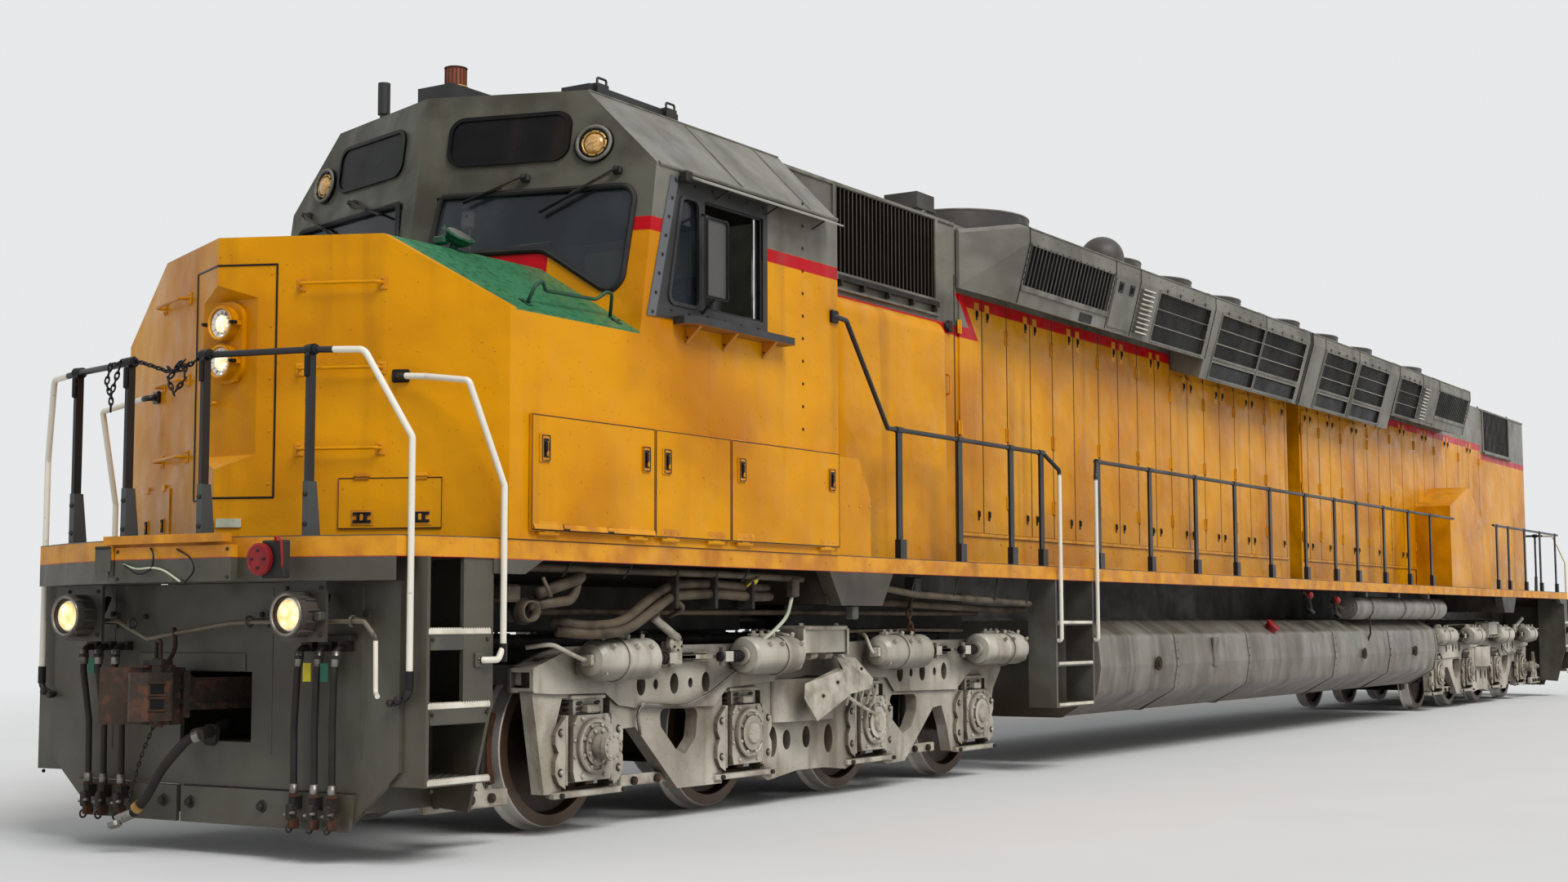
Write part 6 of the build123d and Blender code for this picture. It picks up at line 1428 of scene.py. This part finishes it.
def truck_details():
    """Bearing bolts, springs, liner bolts, pipes, cables and brake rigging of one truck."""
    piece = Piece("truck_details")
    out = 1.12
    for number, u in enumerate(AXLES):
        face = left_side(u, TREAD_R, out + 0.055)
        piece.add(ring(0.152, 0.01, 32), "silver", face, True)
        bolt_circle(piece, face, 0.136, 8, 0.014, 0.014)
        cap = left_side(u, TREAD_R, out + 0.072)
        if number:
            piece.add(lathe(((0.07, 0), (0.066, 0.016), (0.03, 0.022), (0.0, 0.022)), 20), "silver", cap)
            bolt_circle(piece, cap @ at(0, 0, 0.012), 0.045, 3, 0.012, 0.012)
        else:
            bolt_circle(piece, left_side(u, TREAD_R, 1.31), 0.068, 10, 0.01, 0.01)
            bolt_circle(piece, cap, 0.1, 8, 0.013, 0.012)
        for off in (-0.09, 0.09):
            piece.add(helix(0.055, 0.013, 0.1, 3.2), "dark", at(u + off, 1.055, 0.7), True)
        piece.add(box(0.34, 0.1, 0.025, 0.006), "silver", at(u, 1.07, 0.806))
        piece.add(box(0.12, 0.06, 0.05, 0.008), "silver", at(u, 1.13, 0.735))
        for side in (-1, 1):
            edge = u + side * 0.24
            for z in (0.6, 0.36):
                place = left_side(edge + side * 0.05, z, out + 0.006)
                piece.add(lathe(((0.026, 0), (0.022, 0.006), (0.0, 0.006)), 12), "dark", place)
                piece.add(bolt(0.017, 0.018), "silver", place @ at(0, 0, 0.004))
            piece.add(box(0.018, 0.03, 0.42, 0.004), "silver", at(edge - side * 0.012, out - 0.005, 0.49))
            for z in (0.4, 0.5, 0.6):
                piece.add(bolt(0.01, 0.01), "silver", left_side(u + side * 0.185, z + 0.05, out + 0.03))
        for z in (0.33, 0.68):
            for off in (-0.11, 0.11):
                piece.add(bolt(0.013, 0.014), "silver", left_side(u + off, z, out + 0.03))
        piece.add(box(0.72, 0.05, 0.036, 0.006), "silver", at(u - 0.02, 1.1, 0.222))
        for off in (-0.34, 0.28):
            piece.add(bolt(0.018, 0.02), "dark", left_side(u + off, 0.222, 1.126))
        piece.add(tube([(u - 0.3, 1.02, 0.25), (u, 1.0, 0.24), (u + 0.3, 1.02, 0.25)], 0.016, 8), "pipe")
    wire = ((2.1, 1.135, 0.55), (2.135, 1.135, 0.687), (2.075, 1.14, 0.744), (1.88, 1.145, 0.732),
            (1.627, 1.15, 0.717), (1.344, 1.16, 0.793), (1.096, 1.17, 0.912), (0.98, 1.22, 0.999))
    piece.add(tube(wire, 0.01, 8, 0.1), "steel", smooth=True)
    for u, z in ((2.07, 0.742), (1.344, 0.79)):
        piece.add(box(0.05, 0.03, 0.02, 0.004), "silver", at(u, 1.13, z))
    cans = ((2.191, 2.808, -1), (0.431, 1.097, 1), (-1.431, -0.709, -1), (-3.185, -2.382, 1))
    for low, high, way in cans:
        head = high if way < 0 else low
        tip = head + way * 0.003
        y, z = 1.26, 1.036
        place = facing((tip, y, z), (-way, 0, 0))
        piece.add(box(0.09, 0.07, 0.03, 0.01), "silver", place @ at(0, 0, 0.005))
        if low > 2:
            pipe = [(tip + 0.02, y, z), (tip + 0.1, y + 0.02, z + 0.01), (tip + 0.3, y - 0.04, z + 0.1),
                    (tip + 0.4, 1.1, z + 0.08)]
        else:
            pipe = [(tip - way * 0.02, y, z), (tip - way * 0.05, y, z),
                    (tip - way * 0.05, y - 0.06, z + 0.13), (tip + way * 0.02, 1.1, z + 0.15)]
        piece.add(tube(pipe, 0.014, 8, 0.04), "silver", smooth=True)
        for off in (0.1, 0.35, 0.5):
            spot = head + way * off
            for angle in (0.6, 1.3):
                piece.add(bolt(0.015, 0.03), "silver",
                          facing((spot, y + 0.13 * math.cos(angle), z + 0.13 * math.sin(angle)),
                                 (0, math.cos(angle), math.sin(angle))))
        piece.add(box(0.3, 0.04, 0.04, 0.006), "silver", at((low + high) / 2, 1.19, 1.165))
        for off in (-0.1, 0.0, 0.1):
            piece.add(bolt(0.016, 0.024), "silver", at((low + high) / 2 + off, 1.19, 1.18))
        tail = low if way < 0 else high
        piece.add(tube([(tail, y, z), (tail + way * 0.28, y, z)], 0.034, 12), "rubber", smooth=True)
        for off in (0.06, 0.1, 0.14, 0.18):
            piece.add(ring(0.036, 0.006, 16), "rubber", front_side(tail + way * off, y, z), True)
        end = tail + way * 0.25
        piece.add(rod(0.024, -0.06, 0.06, 10), "steel", at(end, y, z))
        slot_x = end + way * 0.22
        if -3.0 < slot_x < 3.0:
            piece.add(box(0.42, 0.012, 0.045, 0.004), "dark", at(slot_x, out + 0.003, z))
            piece.add(box(0.4, 0.03, 0.03, 0.004), "silver", at(slot_x - way * 0.04, out + 0.06, z))
            for off in (-0.026, 0.026):
                piece.add(box(0.44, 0.016, 0.01, 0.003), "silver", at(slot_x, out + 0.006, z + off))
    feed = ((1.84, 1.24, 1.16), (1.9, 1.24, 1.19), (2.14, 1.27, 1.29))
    piece.add(tube(feed, 0.028, 10), "silver", smooth=True)
    hub = left_side(1.84, 1.13, 1.2)
    piece.add(knob(0.07, 0, 0.03, 0.05, 0.045, 18), "silver", hub)
    bolt_circle(piece, hub @ at(0, 0, 0.03), 0.045, 6, 0.01, 0.02, "dark")
    piece.add(box(0.16, 0.08, 0.16, 0.015), "silver", at(1.78, 1.15, 1.06))
    piece.add(box(0.6, 0.22, 0.03, 0.006), "silver", at(0.08, 1.2, 1.222))
    for off in (-0.24, 0.24):
        piece.add(bolt(0.02, 0.02), "silver", at(0.08 + off, 1.24, 1.235))
    for u in (-0.1, 0.1, 0.3):
        piece.add(tube([(u, 1.22, 1.03), (u + 0.1, 1.22, 1.02)], 0.03, 10), "silver")
    piece.add(tube([(-0.2, 1.18, 1.19), (-1.3, 1.17, 1.2), (-2.3, 1.17, 1.19)], 0.012, 8), "pipe")
    piece.add(box(6.0, 0.16, 0.06, 0.02), "dark", at(0, 0.62, 1.15))
    for i in range(9):
        piece.add(box(0.05, 0.18, 0.07, 0.01), "dark", at(-2.8 + 0.7 * i, 0.62, 1.15))
    for u in (-2.1, -0.4, 1.0, 2.2):
        duct = ((u, 0.62, 1.13), (u + 0.05, 0.6, 1.0), (u + 0.25, 0.5, 0.9))
        piece.add(tube(duct, 0.03, 8, 0.08), "rubber", smooth=True)
    rigging = (
        # place and size of bars and plates
        ((3.72, 1.08, 0.253), (0.72, 0.05, 0.1)),
        ((3.72, 1.08, 0.27), (0.1, 0.06, 0.14)),
        ((1.92, 1.02, 0.26), (0.5, 0.04, 0.07)),
        ((-1.8, 1.02, 0.26), (0.5, 0.04, 0.07)),
    )
    for spot, size in rigging:
        piece.add(box(*size, 0.008), "silver", at(*spot))
    for u in (3.52, 3.7, 3.9, 3.99, 1.8, 2.05, -1.7, -1.92):
        y = 1.106 if u > 3 else 1.042
        piece.add(rod(0.028, 0, 0.02, 12), "dark", left_side(u, 0.256, y))
        piece.add(bolt(0.018, 0.03), "rust", left_side(u, 0.256, y))
    hanger = ((3.9, 0.3), (3.79, 0.3), (3.74, 0.4), (3.62, 0.3), (3.56, 0.3), (3.68, 0.5), (3.66, 0.73),
              (3.7, 0.73), (3.8, 0.52))
    upright = at(0, 1.1, 0) @ Matrix.Rotation(math.pi / 2, 4, "X")
    piece.add(board(hanger, 0.035), "silver", upright)
    pin = left_side(3.75, 0.49, 1.1)
    boss = ((0.055, -0.02), (0.055, 0.02), (0.03, 0.026), (0.03, 0.06), (0.0, 0.06))
    piece.add(lathe(boss, 16), "silver", pin)
    for axle, way in ((2.61, 1), (2.61, -1), (0.87, -1), (-0.87, 1), (-2.61, 1), (-2.61, -1)):
        angles = [math.pi * (i / 24 - 0.12) for i in range(7)]
        shoe = [(axle + way * 0.545 * math.cos(a), 0.76, 0.5 + 0.545 * math.sin(a)) for a in angles]
        piece.add(tube(shoe, 0.034, 6), "rust")
        piece.add(tube([(axle + way * 0.6, 0.76, 0.28), (axle + way * 0.6, 0.8, 0.95)], 0.025, 8), "dark")
    piece.both_sides()
    front = piece.moved("truck_details_front", lambda c: Vector((c.x + TRUCK_X, c.y, c.z)))
    rear = piece.moved("truck_details_rear", lambda c: Vector((-c.x - TRUCK_X, -c.y, c.z)))
    front.make("truck_front", "truck_silver")
    rear.make("truck_rear", "truck_silver")


def bent_bracket():
    """Bent bracket plate that hangs at the middle of the front truck's left side."""
    piece = Piece("bent_bracket")
    plates = (
        ((10.33, 1.33, 0.73), (10.2, 1.36, 0.565), (10.17, 1.3, 0.575), (10.27, 1.3, 0.83),
         (9.78, 1.34, 0.92), (9.72, 1.34, 0.73), (9.7, 1.29, 0.74), (9.8, 1.28, 0.93)),
        ((9.8, 1.33, 0.93), (9.72, 1.34, 0.74), (9.74, 1.24, 1.01), (9.46, 1.24, 1.0), (9.4, 1.32, 0.86),
         (9.42, 1.34, 0.77), (9.3, 1.3, 0.84), (9.34, 1.26, 0.86)),
    )
    for corners in plates:
        piece.add(hull(corners), "silver")
    piece.add(tube([(9.34, 1.3, 0.83), (9.18, 1.24, 0.7), (9.1, 1.2, 0.57)], 0.014, 6), "silver")
    piece.add(tube([(9.72, 1.33, 0.72), (9.45, 1.27, 0.65), (9.13, 1.2, 0.58)], 0.012, 6), "silver")
    for i in range(5):
        x = 9.68 - 0.1 * i
        piece.add(tube([(x, 1.32, 0.76 + 0.008 * i), (x - 0.03, 1.27, 0.66)], 0.011, 6), "silver")
    for x, z in ((9.9, 0.83), (10.1, 0.74), (9.56, 0.92)):
        piece.add(bolt(0.014, 0.012), "dark", facing((x, 1.345, z), (0, 1, 0.2)))
    piece.add(tube([(9.6, 1.22, 0.98), (9.62, 1.18, 1.04)], 0.03, 8), "silver")
    piece.make("truck_front", "truck_silver")


def coupler_gear():
    """Wear plates, casting ribs and pins on both coupler heads."""
    pivot = at(COUPLER_PIVOT, 0, 0)
    swung = pivot @ spun(math.radians(-14.0)) @ pivot.inverted()
    for name, place in (("front", swung), ("rear", spun(math.pi))):
        piece = Piece("coupler_gear_" + name)
        for z in (0.735, 1.005):
            piece.add(box(0.2, 0.16, 0.02, 0.006), "rust", at(14.8, 0.02, z + 0.02))
        for off in (-0.09, 0.09):
            piece.add(tube([(14.6, off, 0.96), (14.75, off * 1.3, 1.02)], 0.016, 6), "rust")
        piece.add(knob(0.04, -0.01, 0.02, 0.02, 0.03, 12), "dark", at(14.835, 0.15, 1.045))
        for z in (0.905, 0.822):
            piece.add(box(0.088, 0.01, 0.055, 0.012), "black", at(14.87, 0.209, z))
            for off in (-0.034, 0.034):
                piece.add(tube([(14.82, 0.213, z + off), (14.92, 0.214, z + off)], 0.008, 6), "rust")
        piece.corners = [place @ corner for corner in piece.corners]
        piece.make("coupler_" + name, "rusty_steel")


def inside_cab():
    """Crew seat cushions, control desk faces and a pale rear wall seen through the glass."""
    piece = Piece("inside_cab")
    for side in (-1, 1):
        piece.add(box(0.46, 0.44, 0.09, 0.035), "dark", at(11.46, side * 0.95, 3.015))
        piece.add(box(0.09, 0.42, 0.62, 0.035), "dark", at(11.24, side * 0.95, 3.3))
    piece.add(box(0.03, 2.9, 1.5, 0.01), "pale", at(10.32, 0, 3.4))
    piece.add(box(0.25, 0.5, 0.02, 0.008), "black", at(12.18, -0.78, 3.47))
    piece.add(box(0.02, 0.5, 0.45, 0.008), "pale", at(12.3, 1.15, 3.4))
    piece.make("carbody", "interior_gray")


def set_camera():
    """Camera at the photograph's place, turned as it was."""
    yaw, pitch, roll = (math.radians(angle) for angle in CAMERA_TURN)
    ahead = Vector((math.cos(pitch) * math.cos(yaw), math.cos(pitch) * math.sin(yaw), math.sin(pitch)))
    right = ahead.cross(Vector((0, 0, 1))).normalized()
    up = right.cross(ahead)
    level_right = right * math.cos(roll) + up * math.sin(roll)
    level_up = up * math.cos(roll) - right * math.sin(roll)
    camera = bpy.data.cameras.new("photo_camera")
    camera.lens = LENS
    camera.sensor_width = SENSOR
    camera.clip_end = 400.0
    holder = bpy.data.objects.new("photo_camera", camera)
    turn = Matrix((level_right, level_up, -ahead)).transposed().to_4x4()
    holder.matrix_world = Matrix.Translation(CAMERA_SPOT) @ turn
    bpy.context.scene.collection.objects.link(holder)
    bpy.context.scene.camera = holder


def set_stage():
    """Pale floor that fades into the pale background, soft sky light and one broad lamp."""
    floor_mesh = bpy.data.meshes.new("floor")
    reach = 260.0
    corners = [(x * reach, y * reach, 0) for x, y in ((-1, -1), (1, -1), (1, 1), (-1, 1))]
    floor_mesh.from_pydata(corners, [], [(0, 1, 2, 3)])
    floor = bpy.data.objects.new("floor", floor_mesh)
    bpy.context.scene.collection.objects.link(floor)
    s = Shade("floor_paint")
    s.feed(s.shader.inputs["Roughness"], 0.9)
    grain = s.mix(s.noise(0.6, 5.0), (0.66, 0.66, 0.65, 1.0), (0.72, 0.72, 0.71, 1.0))
    s.feed(s.shader.inputs["Base Color"], grain)
    across = s.calc("MULTIPLY", s.y, 1.6)
    far = s.calc("SQRT", s.calc("ADD", s.calc("MULTIPLY", s.x, s.x), s.calc("MULTIPLY", across, across)))
    glow = s.node("ShaderNodeEmission", PALE, 1.0)
    blend = s.node("ShaderNodeMixShader", s.rise(far, 17.0, 48.0), s.shader.outputs[0], glow.outputs[0])
    s.feed(s.tree.nodes["Material Output"].inputs["Surface"], blend.outputs[0])
    floor_mesh.materials.append(s.material)
    world = bpy.data.worlds.new("studio")
    bpy.context.scene.world = world
    world.use_nodes = True
    sky = Nodes(world.node_tree)
    light = sky.tree.nodes["Background"]
    sky.feed(light.inputs["Color"], (0.94, 0.97, 1.0, 1.0))
    sky.feed(light.inputs["Strength"], 0.5)
    shown = sky.node("ShaderNodeBackground", PALE, 1.0)
    rays = sky.node("ShaderNodeLightPath").outputs
    seen = sky.calc("MAXIMUM", rays["Is Camera Ray"], rays["Is Glossy Ray"])
    seen = sky.calc("MAXIMUM", seen, rays["Is Transmission Ray"])
    pick = sky.node("ShaderNodeMixShader", seen, light.outputs[0], shown.outputs[0])
    sky.feed(sky.tree.nodes["World Output"].inputs["Surface"], pick.outputs[0])
    sun = bpy.data.lights.new("soft_lamp", "SUN")
    sun.energy = 2.3
    sun.angle = math.radians(30)
    lamp = bpy.data.objects.new("soft_lamp", sun)
    lamp.matrix_world = facing((0, 0, 30), (0.28, 0.72, 0.82))
    bpy.context.scene.collection.objects.link(lamp)
    bpy.context.scene.view_settings.view_transform = "Standard"


def main():
    """Dresses the CAD nodes, builds every new piece and sets the stage."""
    set_camera()
    dress_nodes()
    for build in (windshield_trim, cab_side_trim, nose_top_gear, nose_front_trim, headlight_lenses,
                  ditch_lamp_gear, locker_trim, pilot_gear, brake_hose, step_edges, rail_fittings):
        build()
    hood_hardware("front_hood_hardware", FRONT_LINES, (-2.0, 2.43))
    hood_hardware("rear_hood_hardware", REAR_LINES, (-4.45, -1.0))
    for build in (housing_hardware, roof_trim, intake_trim, sill_piping, tank_gear, truck_details,
                  bent_bracket, coupler_gear, inside_cab, set_stage):
        build()


main()
